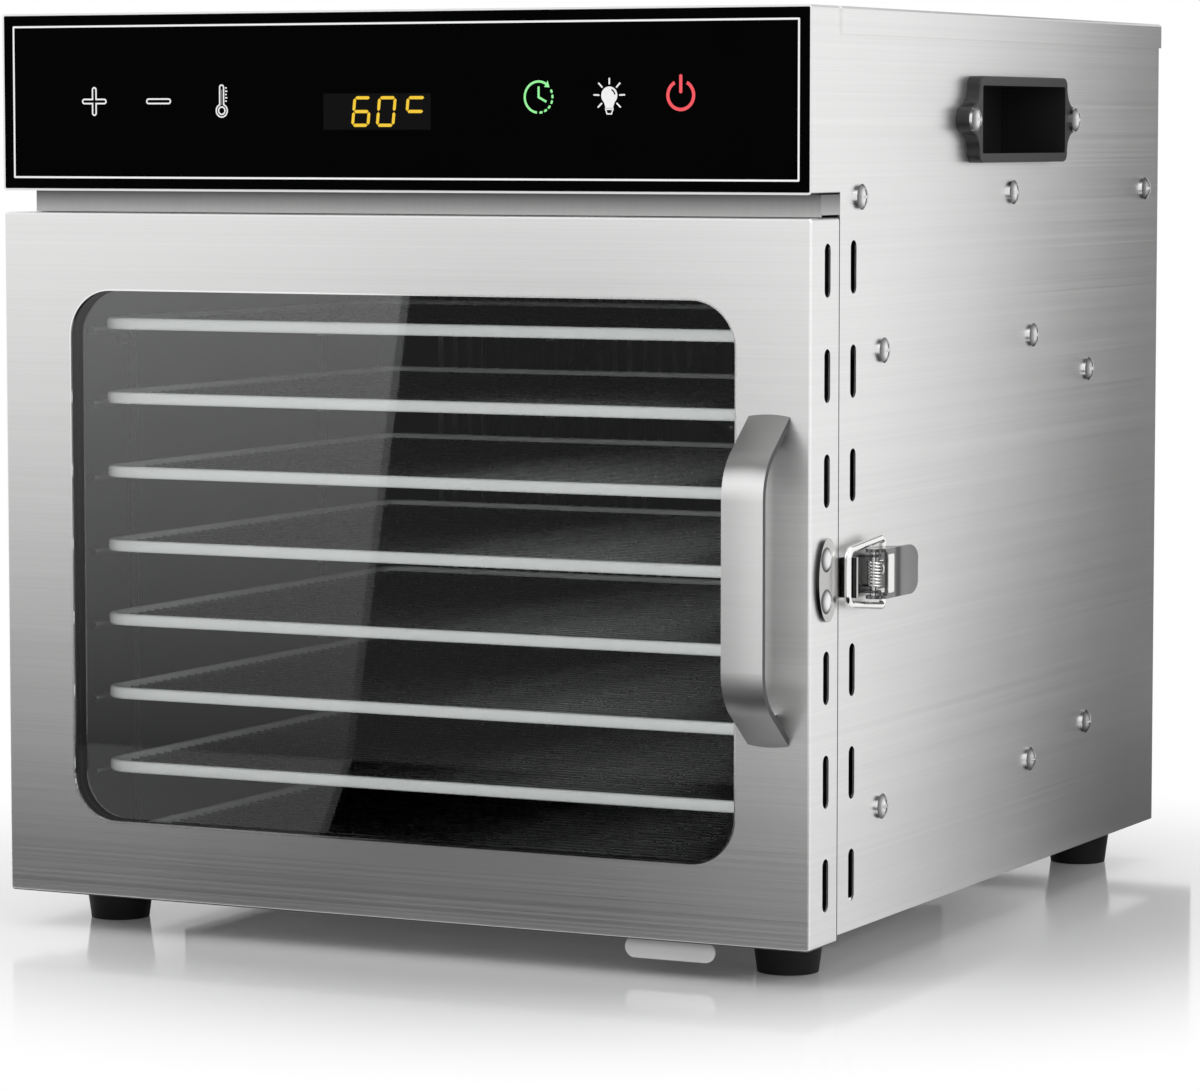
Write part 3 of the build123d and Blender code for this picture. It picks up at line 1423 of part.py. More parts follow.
pieces = {
    "bottom_pan": bottom_pan.part,
    "side_panel_left": side_panel(-1),
    "side_panel_right": side_panel(1),
    "top_cover": top_cover.part,
    "rear_panel": rear_panel.part,
    "front_frame": front_frame.part,
    "control_housing": control_housing.part,
    "touch_panel": touch_panel.part,
    "display_module": display_module.part,
    "control_board": control_board.part,
    "header_strip": header_strip.part,
    "liner_left": liner_wall(-1),
    "liner_right": liner_wall(1),
    "liner_ceiling": liner_ceiling.part,
    "liner_floor": liner_floor.part,
    "rear_baffle": rear_baffle.part,
    "tray_rack_left": tray_rack(-1),
    "tray_rack_right": tray_rack(1),
    "wall_spacers": wall_spacers.part,
    "crumb_tray": crumb_tray.part,
    "crumb_tray_runners": crumb_tray_runners.part,
    "fan_motor": fan_motor.part,
    "fan_shaft": fan_shaft.part,
    "fan_blades": fan_blades.part,
    "heater_element": heater_element.part,
    "lamp_holder": lamp_holder.part,
    "lamp_lens": lamp_lens.part,
    "temperature_probe": temperature_probe.part,
    "power_board": power_board.part,
    "cable_gland": cable_gland.part,
    "side_grip_left": side_grip(-1),
    "side_grip_right": side_grip(1),
    "rubber_feet": rubber_feet.part,
    "casing_screws": casing_screws.part,
    "hinge_cabinet_leaves": hinge_leaves(1),
    "hinge_door_leaves": hinge_leaves(-1),
    "hinge_pins": hinge_pins.part,
    "latch_base": latch_base.part,
    "latch_pin": latch_pin.part,
    "latch_rivets": latch_rivets.part,
    "latch_lever": latch_lever.part,
    "latch_bail": latch_bail.part,
    "latch_spring": latch_spring.part,
    "latch_keeper": latch_keeper.part,
    "keeper_rivets": keeper_rivets.part,
    "door_shell": door_shell.part,
    "door_glass": door_glass.part,
    "glass_retainer": glass_retainer.part,
    "door_inner_frame": door_inner_frame.part,
    "door_gasket": door_gasket.part,
    "door_handle": door_handle.part,
    "door_screws": door_screws.part,
}
for number in range(1, tray_count + 1):
    pieces[f"tray_{number}"] = stacked_tray(number)

os.makedirs("parts", exist_ok=True)
for name, piece in pieces.items():
    piece.label = name
    export_step(piece, f"parts/{name}.step")
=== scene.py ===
import json
import math

import bmesh
import bpy
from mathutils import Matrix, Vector

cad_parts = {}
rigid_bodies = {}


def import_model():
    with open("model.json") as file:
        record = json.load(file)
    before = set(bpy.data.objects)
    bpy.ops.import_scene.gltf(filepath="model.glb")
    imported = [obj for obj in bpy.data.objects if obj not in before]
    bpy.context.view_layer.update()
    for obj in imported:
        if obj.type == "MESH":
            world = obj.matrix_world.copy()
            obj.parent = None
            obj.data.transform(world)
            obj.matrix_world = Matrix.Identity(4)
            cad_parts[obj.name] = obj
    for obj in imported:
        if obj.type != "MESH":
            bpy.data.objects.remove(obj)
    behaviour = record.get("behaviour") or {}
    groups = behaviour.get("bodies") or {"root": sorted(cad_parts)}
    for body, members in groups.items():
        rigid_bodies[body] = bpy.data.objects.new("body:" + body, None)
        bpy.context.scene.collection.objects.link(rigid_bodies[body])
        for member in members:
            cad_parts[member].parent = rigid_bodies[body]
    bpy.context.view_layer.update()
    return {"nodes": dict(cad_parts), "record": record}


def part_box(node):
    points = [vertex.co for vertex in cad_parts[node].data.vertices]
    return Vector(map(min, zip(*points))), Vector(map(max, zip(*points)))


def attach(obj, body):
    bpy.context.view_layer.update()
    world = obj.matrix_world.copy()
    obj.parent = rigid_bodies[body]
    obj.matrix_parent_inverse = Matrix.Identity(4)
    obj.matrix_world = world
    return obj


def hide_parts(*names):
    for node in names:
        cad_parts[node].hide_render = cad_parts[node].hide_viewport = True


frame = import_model()
nodes = frame["nodes"]
print("frame loaded:", len(nodes), "nodes")

mm = 0.001


class Strand:  # a shader socket that can be added, multiplied and so on
    def __init__(self, tree, socket=None):
        self.tree, self.socket = tree, socket

    def make(self, kind, settings=None, inputs=None, out=0):
        node = self.tree.nodes.new(kind)
        for key, value in (settings or {}).items():
            setattr(node, key, value)
        for key, value in (inputs or {}).items():
            if isinstance(value, Strand):
                self.tree.links.new(value.socket, node.inputs[key])
            else:
                node.inputs[key].default_value = value
        return Strand(self.tree, node.outputs[out])

    def sum(self, operation, first, second):
        return self.make("ShaderNodeMath", {"operation": operation}, {0: first, 1: second})

    def __add__(self, other): return self.sum("ADD", self, other)
    def __radd__(self, other): return self.sum("ADD", other, self)
    def __sub__(self, other): return self.sum("SUBTRACT", self, other)
    def __rsub__(self, other): return self.sum("SUBTRACT", other, self)
    def __mul__(self, other): return self.sum("MULTIPLY", self, other)
    def __rmul__(self, other): return self.sum("MULTIPLY", other, self)
    def __gt__(self, other): return self.sum("GREATER_THAN", self, other)
    def __lt__(self, other): return self.sum("LESS_THAN", self, other)

    def into(self, shader, socket):
        self.tree.links.new(self.socket, shader.inputs[socket])


def blank(name, **fixed):  # new material with its main shader's constants set
    finish = bpy.data.materials.new(name)
    finish.use_nodes = True
    shader = finish.node_tree.nodes["Principled BSDF"]
    for socket, value in fixed.items():
        shader.inputs[socket.replace("_", " ")].default_value = value
    return finish, Strand(finish.node_tree), shader


def place(strand, stretch):  # object coordinates, stretched per axis
    where = strand.make("ShaderNodeTexCoord", out="Object")
    return strand.make("ShaderNodeVectorMath", {"operation": "MULTIPLY"}, {0: where, 1: stretch})


def noise(strand, where, scale=1.0, detail=3.0, rough=0.55):
    inputs = {"Vector": where, "Scale": scale, "Detail": detail, "Roughness": rough}
    return strand.make("ShaderNodeTexNoise", None, inputs)


def raised(strand, height, depth, strength):
    return strand.make("ShaderNodeBump", None, {"Height": height, "Distance": depth, "Strength": strength})


def over(strand, share, under, tone):  # one tone laid over a varying one, by share
    pick = {"Factor": share, 6: under, 7: (*tone, 1)}
    return strand.make("ShaderNodeMix", {"data_type": "RGBA"}, pick, out=2)


def tint(strand, share, low, high):  # colour between two, by share
    return over(strand, share, (*low, 1), high)


def ramp(strand, value, ends, most=1.0, least=0.0, soft=True):  # least at the first end, most at the second
    kind = {"interpolation_type": "SMOOTHSTEP" if soft else "LINEAR"}
    spans = {"Value": value, "From Min": ends[0], "From Max": ends[1], "To Min": least, "To Max": most}
    return strand.make("ShaderNodeMapRange", kind, spans)


def part(strand, vector, axis):  # a vector along one axis
    return strand.make("ShaderNodeSeparateXYZ", None, {0: vector}, out=axis)


def size(strand, value):
    return strand.sum("ABSOLUTE", value, 0)


def facing(strand):  # the piece's own normal, so a finish turns with its piece
    return strand.make("ShaderNodeTexCoord", out="Normal")


# how far a face has turned, by its normal
turns = {"flat": 0.7, "rim": (0.97, 0.80), "under": (-0.25, -0.6), "level": -0.98, "edge": (0.55, 0.85),
         "front": (-0.35, -0.75), "post": (0.10, 0.30)}


def paintedRimShade(strand, metal, rim):  # painted shade: darker where the form turns away from its main faces
    normal = facing(strand)
    sizes = [size(strand, part(strand, normal, axis)) for axis in "XYZ"]
    main = strand.sum("MAXIMUM", strand.sum("MAXIMUM", sizes[0], sizes[1]), sizes[2])
    return over(strand, ramp(strand, main, turns["rim"]), metal, rim)


def paintedHeightShade(strand, tone, look, soft):  # painted shade: greyer from one height to another
    height = part(strand, place(strand, (1, 1, 1)), "Z")
    return over(strand, ramp(strand, height, (look["low"], look["high"]), soft=soft), tone, look["shade"])


brush = {"hair": 0.6, "band": 0.25, "cloud": 0.25, "dull": 0.05, "depth": 0.00012}


def brushedSteel(name, look):
    finish, strand, shader = blank(name, Metallic=1.0)
    normal = facing(strand)
    flat = size(strand, part(strand, normal, "Z")) > turns["flat"]  # top and bottom are brushed the other way
    run, fine = look["run"], look["fine"]
    along = place(strand, (fine, run, run) if look.get("upright") else (run, run, fine))
    pick = {"Factor": flat, 4: along, 5: place(strand, (run, fine, run))}
    where = strand.make("ShaderNodeMix", {"data_type": "VECTOR"}, pick, out=1)
    hair = noise(strand, where, 1.0, 4.0, 0.62)
    band = noise(strand, where, 0.11, 2.0, 0.5)
    cloud = noise(strand, place(strand, (9, 9, 14)), 1.0, 2.0)
    share = hair * brush["hair"] + band * brush["band"] + cloud * brush["cloud"]
    metal = tint(strand, share, look["dark"], look["light"])
    # painted shade where the form turns away from its main faces
    if "rim" in look:
        metal = paintedRimShade(strand, metal, look["rim"])
    # painted shade, greyer towards the top
    if "shade" in look:
        metal = paintedHeightShade(strand, metal, look, soft=False)
    if "under" in look:  # painted shade on bends that turn down, but not on level undersides
        down = part(strand, normal, "Z")
        metal = over(strand, ramp(strand, down, turns["under"]) * (down > turns["level"]), metal, look["under"])
    if "edge" in look:  # painted shade: the strap's cut edges are darkened
        sideways = size(strand, part(strand, normal, "X"))
        metal = over(strand, ramp(strand, sideways, turns["edge"]), metal, look["edge"])
    metal.into(shader, "Base Color")
    (look["rough"] + hair * look["scatter"] + cloud * brush["dull"]).into(shader, "Roughness")
    raised(strand, hair, brush["depth"], look["bump"]).into(shader, "Normal")
    return finish


film = {"smear": 0.7, "speck": 0.3, "smearDull": 0.10, "speckDull": 0.05, "depth": 0.00003, "bump": 0.15}


def plated(name, look):  # chrome, nickel and bright wire
    finish, strand, shader = blank(name, Metallic=1.0)
    smear = noise(strand, place(strand, (60, 60, 60)), 1.0, 3.0)
    speck = noise(strand, place(strand, (900, 900, 900)), 1.0, 2.0)
    metal = tint(strand, smear * film["smear"] + speck * film["speck"], look["dark"], look["light"])
    # painted shade where the form turns away from its main faces
    if "rim" in look:
        metal = paintedRimShade(strand, metal, look["rim"])
    if "edge" in look:  # painted shade on faces that look to the front
        front = part(strand, facing(strand), "Y")
        metal = over(strand, ramp(strand, front, turns["front"]), metal, look["edge"])
    if "band" in look:  # painted reflection: the dark stripe that the paddle's bend mirrors
        depth = part(strand, place(strand, (1, 1, 1)), "Y")
        near = size(strand, depth - look["bend"])
        metal = over(strand, ramp(strand, near, (look["half"], look["half"] * look["core"])), metal, look["band"])
    if "post" in look:  # painted shade: upright posts are darkened, the rods between them are bare
        upright = size(strand, part(strand, facing(strand), "Y"))
        metal = over(strand, ramp(strand, upright, turns["post"]), metal, look["post"])
    metal.into(shader, "Base Color")
    (look["rough"] + smear * film["smearDull"] + speck * film["speckDull"]).into(shader, "Roughness")
    raised(strand, speck, film["depth"], film["bump"]).into(shader, "Normal")
    return finish


skin = {"grain": 0.5, "worn": 0.5, "grainDull": 0.12, "wornDull": 0.08, "depth": 0.0001}


def moulded(name, look):  # coated, moulded and rubber surfaces
    finish, strand, shader = blank(name, Specular_IOR_Level=look["shine"], Metallic=look.get("metal", 0.0))
    grain = noise(strand, place(strand, (look["grain"],) * 3), 1.0, 3.0)
    worn = noise(strand, place(strand, (25, 25, 25)), 1.0, 3.0)
    coat = tint(strand, grain * skin["grain"] + worn * skin["worn"], look["dark"], look["light"])
    # painted shadow, greyer towards the top
    if "shade" in look:
        coat = paintedHeightShade(strand, coat, look, soft=True)
    coat.into(shader, "Base Color")
    (look["rough"] + grain * skin["grainDull"] + worn * skin["wornDull"]).into(shader, "Roughness")
    raised(strand, grain, skin["depth"], look["bump"]).into(shader, "Normal")
    return finish


smudge = {"least": 0.92, "haze": 0.16}


def clearGlass(name, look):
    finish, strand, shader = blank(name)
    finish.node_tree.nodes.remove(shader)
    haze = noise(strand, place(strand, (14, 14, 5)), 1.0, 2.0)
    edge = strand.make("ShaderNodeFresnel", None, {"IOR": look["bend"]})
    through = strand.make("ShaderNodeBsdfTransparent", None, {"Color": (*look["tint"], 1)})
    polish = {"Color": (1, 1, 1, 1), "Roughness": look["rough"]}
    mirror = strand.make("ShaderNodeBsdfAnisotropic", None, polish)
    share = edge * (smudge["least"] + haze * smudge["haze"])
    both = strand.make("ShaderNodeMixShader", None, {0: share, 1: through, 2: mirror})
    both.into(strand.tree.nodes["Material Output"], "Surface")
    return finish


def litPrint(name, look):  # printed or lit marks on the control glass
    glow = {"Emission_Strength": look["glow"], "Roughness": 0.4, "Specular_IOR_Level": look.get("shine", 0.1)}
    finish, strand, shader = blank(name, **glow)
    fleck = noise(strand, place(strand, (700, 700, 700)), 1.0, 2.0)
    ink = [[tone * look["ink"] for tone in look[end]] for end in ("dark", "light")]
    tint(strand, fleck, *ink).into(shader, "Base Color")
    tint(strand, fleck, look["dark"], look["light"]).into(shader, "Emission Color")
    return finish


# the under tone is painted shade on bends that turn down
steelLook = {"run": 2.2, "fine": 1700.0, "dark": (0.71, 0.71, 0.707), "light": (0.94, 0.94, 0.935), "rough": 0.25,
             "scatter": 0.16, "bump": 0.16, "under": (0.05, 0.05, 0.05)}
satinLook = {"run": 30.0, "fine": 900.0, "dark": (0.58, 0.58, 0.575), "light": (0.78, 0.78, 0.77), "rough": 0.26,
             "scatter": 0.10, "bump": 0.08}
# the handle's rim, edge and under tones are painted shade
handleLook = {"run": 12.0, "fine": 1100.0, "dark": (0.74, 0.74, 0.736), "light": (0.88, 0.88, 0.876), "rough": 0.40,
              "scatter": 0.08, "bump": 0.06, "rim": (0.22, 0.22, 0.218), "edge": (0.09, 0.09, 0.09),
              "under": (0.52, 0.52, 0.517)}
stripLow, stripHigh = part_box("header_strip")
# the header strip sits under the control head: its darker tones and the shade towards its top are painted shade
stripShadeLook = {"run": 6.0, "fine": 500.0, "dark": (0.38, 0.38, 0.378), "light": (0.54, 0.54, 0.537), "rough": 0.30,
             "scatter": 0.12, "bump": 0.12, "upright": True, "low": stripLow[2], "high": stripHigh[2],
             "shade": (0.13, 0.13, 0.13)}
finishes = {
    "brushed_steel": brushedSteel("brushedSteel", steelLook),
    "satin_steel": brushedSteel("satinSteel", satinLook),
    "inner_black": moulded("blackCoat", {"shine": 0.3, "grain": 1400.0, "dark": (0.012, 0.012, 0.013),
                                         "light": (0.034, 0.034, 0.036), "rough": 0.38, "bump": 0.25}),
    "wire_chrome": plated("netWire", {"dark": (0.26, 0.26, 0.258), "light": (0.42, 0.42, 0.417), "rough": 0.20}),
    # the rim tones of fastener_chrome and latch_nickel are painted shade
    "fastener_chrome": plated("screwChrome", {"dark": (0.74, 0.74, 0.74), "light": (0.92, 0.92, 0.92), "rough": 0.10,
                                              "rim": (0.10, 0.10, 0.10)}),
    "latch_nickel": plated("latchNickel", {"dark": (0.42, 0.417, 0.41), "light": (0.62, 0.615, 0.605), "rough": 0.10,
                                           "rim": (0.12, 0.12, 0.12)}),
    "panel_black": moulded("controlGlass", {"shine": 0.01, "grain": 60.0, "dark": (0.0004, 0.0004, 0.0005),
                                            "light": (0.001, 0.001, 0.0011), "rough": 0.04, "bump": 0.0}),
    "window_glass": clearGlass("windowGlass", {"bend": 1.62, "tint": (0.965, 0.975, 0.972), "rough": 0.015}),
    "lens_glass": clearGlass("lensGlass", {"bend": 1.6, "tint": (0.86, 0.88, 0.88), "rough": 0.06}),
    "grip_plastic": moulded("gripPlastic", {"shine": 0.42, "grain": 2200.0, "dark": (0.004, 0.004, 0.0045),
                                            "light": (0.014, 0.014, 0.015), "rough": 0.32, "bump": 0.2}),
    "black_rubber": moulded("footRubber", {"shine": 0.25, "grain": 1600.0, "dark": (0.003, 0.003, 0.003),
                                           "light": (0.010, 0.010, 0.010), "rough": 0.5, "bump": 0.3}),
    "gasket_rubber": moulded("doorSealRubber", {"shine": 0.3, "grain": 1300.0, "dark": (0.025, 0.025, 0.026),
                                                "light": (0.06, 0.06, 0.06), "rough": 0.55, "bump": 0.2}),
    "board_green": moulded("boardGreen", {"shine": 0.4, "grain": 500.0, "dark": (0.012, 0.09, 0.035),
                                          "light": (0.03, 0.20, 0.08), "rough": 0.4, "bump": 0.2}),
    "display_dark": moulded("displayBlock", {"shine": 0.4, "grain": 300.0, "dark": (0.01, 0.01, 0.012),
                                             "light": (0.03, 0.03, 0.034), "rough": 0.25, "bump": 0.05}),
    "fan_aluminium": plated("fanAluminium", {"dark": (0.46, 0.46, 0.46), "light": (0.66, 0.66, 0.66), "rough": 0.28}),
    "motor_steel": moulded("motorStack", {"shine": 0.5, "grain": 800.0, "dark": (0.10, 0.10, 0.11),
                                          "light": (0.24, 0.24, 0.25), "rough": 0.45, "bump": 0.3, "metal": 0.8}),
    "heater_steel": plated("heaterTube", {"dark": (0.20, 0.16, 0.13), "light": (0.36, 0.32, 0.30), "rough": 0.30}),
    # the tab's darker top is a painted shadow under the door
    "tab_grey": moulded("tabCoat", {"shine": 0.45, "grain": 1500.0, "dark": (0.66, 0.66, 0.655),
                                    "light": (0.78, 0.78, 0.775), "rough": 0.36, "bump": 0.12,
                                    "low": 0.0095, "high": 0.0145, "shade": (0.20, 0.20, 0.20)}),
}
brightNickel = plated("bailNickel", {"dark": (0.80, 0.80, 0.79), "light": (0.96, 0.96, 0.95), "rough": 0.06})
special = {
    "door_handle": brushedSteel("handleSteel", handleLook),
    "latch_bail": brightNickel, "latch_spring": brightNickel,
    # latch_lever: the rim tone is painted shade, the band a painted reflection
    "latch_lever": plated("leverNickel", {"dark": (0.17, 0.17, 0.169), "light": (0.27, 0.27, 0.268), "rough": 0.16,
                                          "rim": (0.05, 0.05, 0.05), "bend": -0.1205, "half": 0.0042,
                                          "core": 0.2, "band": (0.045, 0.045, 0.045)}),
    # latch_keeper: the rim and edge tones are painted shade
    "latch_keeper": plated("keeperNickel", {"dark": (0.42, 0.417, 0.41), "light": (0.62, 0.615, 0.605), "rough": 0.10,
                                            "rim": (0.12, 0.12, 0.12), "edge": (0.03, 0.03, 0.03)}),
    # the rim tone of latch_base is painted shade
    "latch_base": plated("baseNickel", {"dark": (0.10, 0.10, 0.10), "light": (0.19, 0.19, 0.188), "rough": 0.16,
                                        "rim": (0.04, 0.04, 0.04)}),
    "header_strip": brushedSteel("stripSteel", stripShadeLook),
}
# the post tone is painted shade on the rack's upright posts
rackWire = plated("rackWire", {"dark": (0.74, 0.74, 0.735), "light": (0.90, 0.90, 0.895), "rough": 0.24,
                               "post": (0.02, 0.02, 0.021)})
special["tray_rack_left"] = special["tray_rack_right"] = rackWire
# painted sheen: the stainless tray rims get a near-white coat that stands in for their bright sheen
rimSheenCoat = moulded("trayRimCoat", {"shine": 0.5, "grain": 900.0, "dark": (0.86, 0.86, 0.86),
                                  "light": (0.95, 0.95, 0.95), "rough": 0.32, "bump": 0.04})
prints = {
    "white": litPrint("whitePrint", {"glow": 0.80, "ink": 0.15, "dark": (0.84, 0.84, 0.84),
                                     "light": (0.96, 0.96, 0.96)}),
    "grey": litPrint("greyPrint", {"glow": 0.20, "ink": 0.5, "dark": (0.20, 0.20, 0.20),
                                   "light": (0.28, 0.28, 0.28)}),
    "green": litPrint("greenPrint", {"glow": 0.85, "ink": 0.15, "dark": (0.24, 0.86, 0.26),
                                     "light": (0.40, 0.98, 0.42)}),
    "red": litPrint("redPrint", {"glow": 0.85, "ink": 0.15, "dark": (0.86, 0.07, 0.09),
                                 "light": (0.96, 0.13, 0.15)}),
    "amber": litPrint("amberDigits", {"glow": 0.88, "ink": 0.08, "dark": (0.90, 0.52, 0.02),
                                      "light": (1.0, 0.72, 0.07)}),
    "window": litPrint("displayWindow", {"glow": 0.4, "ink": 0.4, "shine": 0.01, "dark": (0.006, 0.006, 0.0065),
                                         "light": (0.009, 0.009, 0.0095)}),
}
slotOf = {subpart["node"]: subpart["material_slot"] for subpart in frame["record"]["subparts"]}
for name, piece in nodes.items():
    piece.data.materials.clear()
    piece.data.materials.append(special.get(name, finishes[slotOf[name]]))
print("finishes on", len(nodes), "nodes")


def pieceFrom(name, form, body, finish, smooth=False):
    mesh = bpy.data.meshes.new(name)
    bmesh.ops.recalc_face_normals(form, faces=form.faces)
    form.to_mesh(mesh)
    form.free()
    mesh.materials.append(finish)
    for face in mesh.polygons:
        face.use_smooth = smooth
    piece = bpy.data.objects.new(name, mesh)
    bpy.context.scene.collection.objects.link(piece)
    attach(piece, body)
    return piece


def roundEnd(centre, radius, start, stop, steps):  # arc points, angles in degrees
    turn = [math.radians(start + (stop - start) * k / steps) for k in range(steps + 1)]
    return [(centre[0] + radius * math.cos(a), centre[1] + radius * math.sin(a)) for a in turn]


def between(outer, inner, closed=True):  # quads between two outlines with equal counts
    last = len(outer) if closed else len(outer) - 1
    return [[outer[k], outer[(k + 1) % len(outer)], inner[(k + 1) % len(inner)], inner[k]] for k in range(last)]


def bar(start, stop, width, steps=6):  # straight stroke with round ends
    lean = math.degrees(math.atan2(stop[1] - start[1], stop[0] - start[0]))
    ends = ((stop, lean - 90), (start, lean + 90))
    return [[point for spot, turn in ends for point in roundEnd(spot, width / 2, turn, turn + 180, steps)]]


def sweepArc(centre, radius, width, start, stop, steps):  # arc stroke
    return between(roundEnd(centre, radius + width / 2, start, stop, steps),
                   roundEnd(centre, radius - width / 2, start, stop, steps), closed=False)


def plate(name, faces, front, back, body, finish, sideways=False):
    form = bmesh.new()  # outlines in X (or Y) and Z, in mm, with a thickness
    known = {}

    def corner(point):
        key = (round(point[0], 4), round(point[1], 4))
        if key not in known:
            spot = (front, *key) if sideways else (key[0], front, key[1])
            known[key] = form.verts.new(Vector(spot) * mm)
        return known[key]

    for face in faces:
        ring = list(dict.fromkeys(corner(point) for point in face))
        if len(ring) > 2:
            form.faces.new(ring)
    grown = bmesh.ops.extrude_face_region(form, geom=list(form.faces))
    moved = [item for item in grown["geom"] if isinstance(item, bmesh.types.BMVert)]
    deep = (back - front) * mm
    bmesh.ops.translate(form, verts=moved, vec=(deep, 0, 0) if sideways else (0, deep, 0))
    return pieceFrom(name, form, body, finish)


def roundedBox(halfWide, low, high, corner, steps=8):  # rounded rectangle outline in X and Z
    points = []
    for cx, cz, start in ((halfWide - corner, high - corner, 0), (corner - halfWide, high - corner, 90),
                          (corner - halfWide, low + corner, 180), (halfWide - corner, low + corner, 270)):
        points += roundEnd((cx, cz), corner, start, start + 90, steps)
    return points


# marks printed on the control glass, all in mm
panel = {"front": -178.75, "proud": 0.05, "sunk": 0.02, "halfWide": 171.55, "low": 291.85, "high": 358.55,
         "lineInset": 3.85, "lineWide": 0.75, "corner": 0.4, "innerCorner": 0.2, "level": 325.4}


def shifted(faces, x, z):
    return [[(px + x, pz + z) for px, pz in face] for face in faces]


def mark(name, faces, colour, x=0.0, z=0.0):
    return plate(name, shifted(faces, x, z), panel["front"] - panel["proud"], panel["front"] + panel["sunk"],
                 "cabinet", prints[colour])


def panelOutline(inset, corner):
    return roundedBox(panel["halfWide"] - inset, panel["low"] + inset, panel["high"] - inset, corner, 2)


hollow = panelOutline(panel["lineInset"] + panel["lineWide"], panel["innerCorner"])
mark("panelFrameLine", between(panelOutline(panel["lineInset"], panel["corner"]), hollow), "white")

plus = {"x": -130.6, "reach": 5.6, "half": 1.1, "line": 0.6}


def plusOutline(reach, half):
    points = []
    for turn in range(4):  # one arm at a time, from the inner corner round its end
        arm = [(half, half)] + roundEnd((reach - half, 0), half, 90, -90, 8)
        a = math.radians(-90 * turn)
        points += [(x * math.cos(a) - z * math.sin(a), x * math.sin(a) + z * math.cos(a)) for x, z in arm]
    return points


hollow = plusOutline(plus["reach"] - plus["line"], plus["half"] - plus["line"])
mark("plusMark", between(plusOutline(plus["reach"], plus["half"]), hollow), "white", plus["x"], panel["level"])

minus = {"x": -101.6, "half": 5.6, "tall": 1.15, "line": 0.6}


def minusOutline(radius):
    end = minus["half"] - minus["tall"]
    return roundEnd((end, 0), radius, -90, 90, 8) + roundEnd((-end, 0), radius, 90, 270, 8)


hollow = minusOutline(minus["tall"] - minus["line"])
mark("minusMark", between(minusOutline(minus["tall"]), hollow), "white", minus["x"], panel["level"])

thermo = {"x": -73.5, "bulb": 2.7, "stem": 1.15, "tall": 12.7, "line": 0.55, "drop": 1.7, "ring": 0.56,
          "column": 0.5, "columnFoot": 2.4, "columnTop": 4.2, "tickTop": 5.0, "tickStep": 1.25, "ticks": 5,
          "tickFrom": 1.75, "tickShort": 2.0, "tickLong": 2.25}


def thermoOutline(shrink):
    bulb, stem = thermo["bulb"] - shrink, thermo["stem"] - shrink
    middle = -thermo["tall"] / 2 + thermo["bulb"]
    neck = math.degrees(math.asin(stem / bulb))
    top = thermo["tall"] / 2 - thermo["stem"]
    return roundEnd((0, middle), bulb, 90 + neck, 450 - neck, 28) + roundEnd((0, top), stem, 0, 180, 10)


drop = -thermo["tall"] / 2 + thermo["bulb"]
at = (thermo["x"], panel["level"])
mark("thermometerMark", between(thermoOutline(0), thermoOutline(thermo["line"])), "white", *at)
ring = thermo["ring"]
mark("thermometerBulb", sweepArc((0, drop), thermo["drop"] - ring / 2, ring, 0, 360, 28), "white", *at)
column = bar((0, drop + thermo["columnFoot"]), (0, thermo["columnTop"]), thermo["column"])
mark("thermometerColumn", column, "grey", *at)
ticks = []
for k in range(thermo["ticks"]):
    level = thermo["tickTop"] - thermo["tickStep"] * k
    ticks += bar((thermo["tickFrom"], level), (thermo["tickLong" if k % 2 else "tickShort"], level), thermo["line"])
mark("thermometerTicks", ticks, "white", *at)

display = {"x": -6.0, "z": 321.3, "wide": 46.0, "tall": 13.6, "lean": 0.10, "stroke": 1.2, "gap": 0.2,
           "proud": 0.02, "digitTall": 11.5}
halfWide, halfTall = display["wide"] / 2, display["tall"] / 2
signs = ((1, 1), (-1, 1), (-1, -1), (1, -1))
field = [(display["x"] + sx * halfWide, display["z"] + sz * halfTall) for sx, sz in signs]
plate("displayField", [field], panel["front"] - display["proud"], panel["front"] + panel["sunk"], "cabinet",
      prints["window"])


def segment(start, stop):  # a lit bar with pointed ends
    length = math.hypot(stop[0] - start[0], stop[1] - start[1])
    ux, uz = (stop[0] - start[0]) / length, (stop[1] - start[1]) / length
    half, gap = display["stroke"] / 2, display["gap"]
    spots = [(gap, 0), (gap + half, half), (length - gap - half, half), (length - gap, 0),
             (length - gap - half, -half), (gap + half, -half)]
    return [(start[0] + ux * s - uz * t, start[1] + uz * s + ux * t) for s, t in spots]


def digit(low, left, wide, tall, lit):  # seven segments: a top, b and c right, d foot, e and f left, g middle
    x0, x1 = left + display["stroke"] / 2, left + wide - display["stroke"] / 2
    z0, z2 = low + display["stroke"] / 2, low + tall - display["stroke"] / 2
    z1 = (z0 + z2) / 2
    ends = {"a": ((x0, z2), (x1, z2)), "b": ((x1, z2), (x1, z1)), "c": ((x1, z1), (x1, z0)),
            "d": ((x0, z0), (x1, z0)), "e": ((x0, z0), (x0, z1)), "f": ((x0, z1), (x0, z2)),
            "g": ((x0, z1), (x1, z1))}

    def leaning(point):
        return point[0] + display["lean"] * (point[1] - low - tall / 2), point[1]

    return [[leaning(point) for point in segment(*ends[key])] for key in lit]


tall = display["digitTall"]
foot = display["z"] - tall / 2
lit = []
for left, wide, bars in ((-16.5, 7.8, "acdefg"), (-5.9, 7.9, "abcdef"), (6.3, 8.2, "afg")):
    lit += digit(foot, left, wide, tall, bars)
mark("temperatureDigits", lit, "amber")

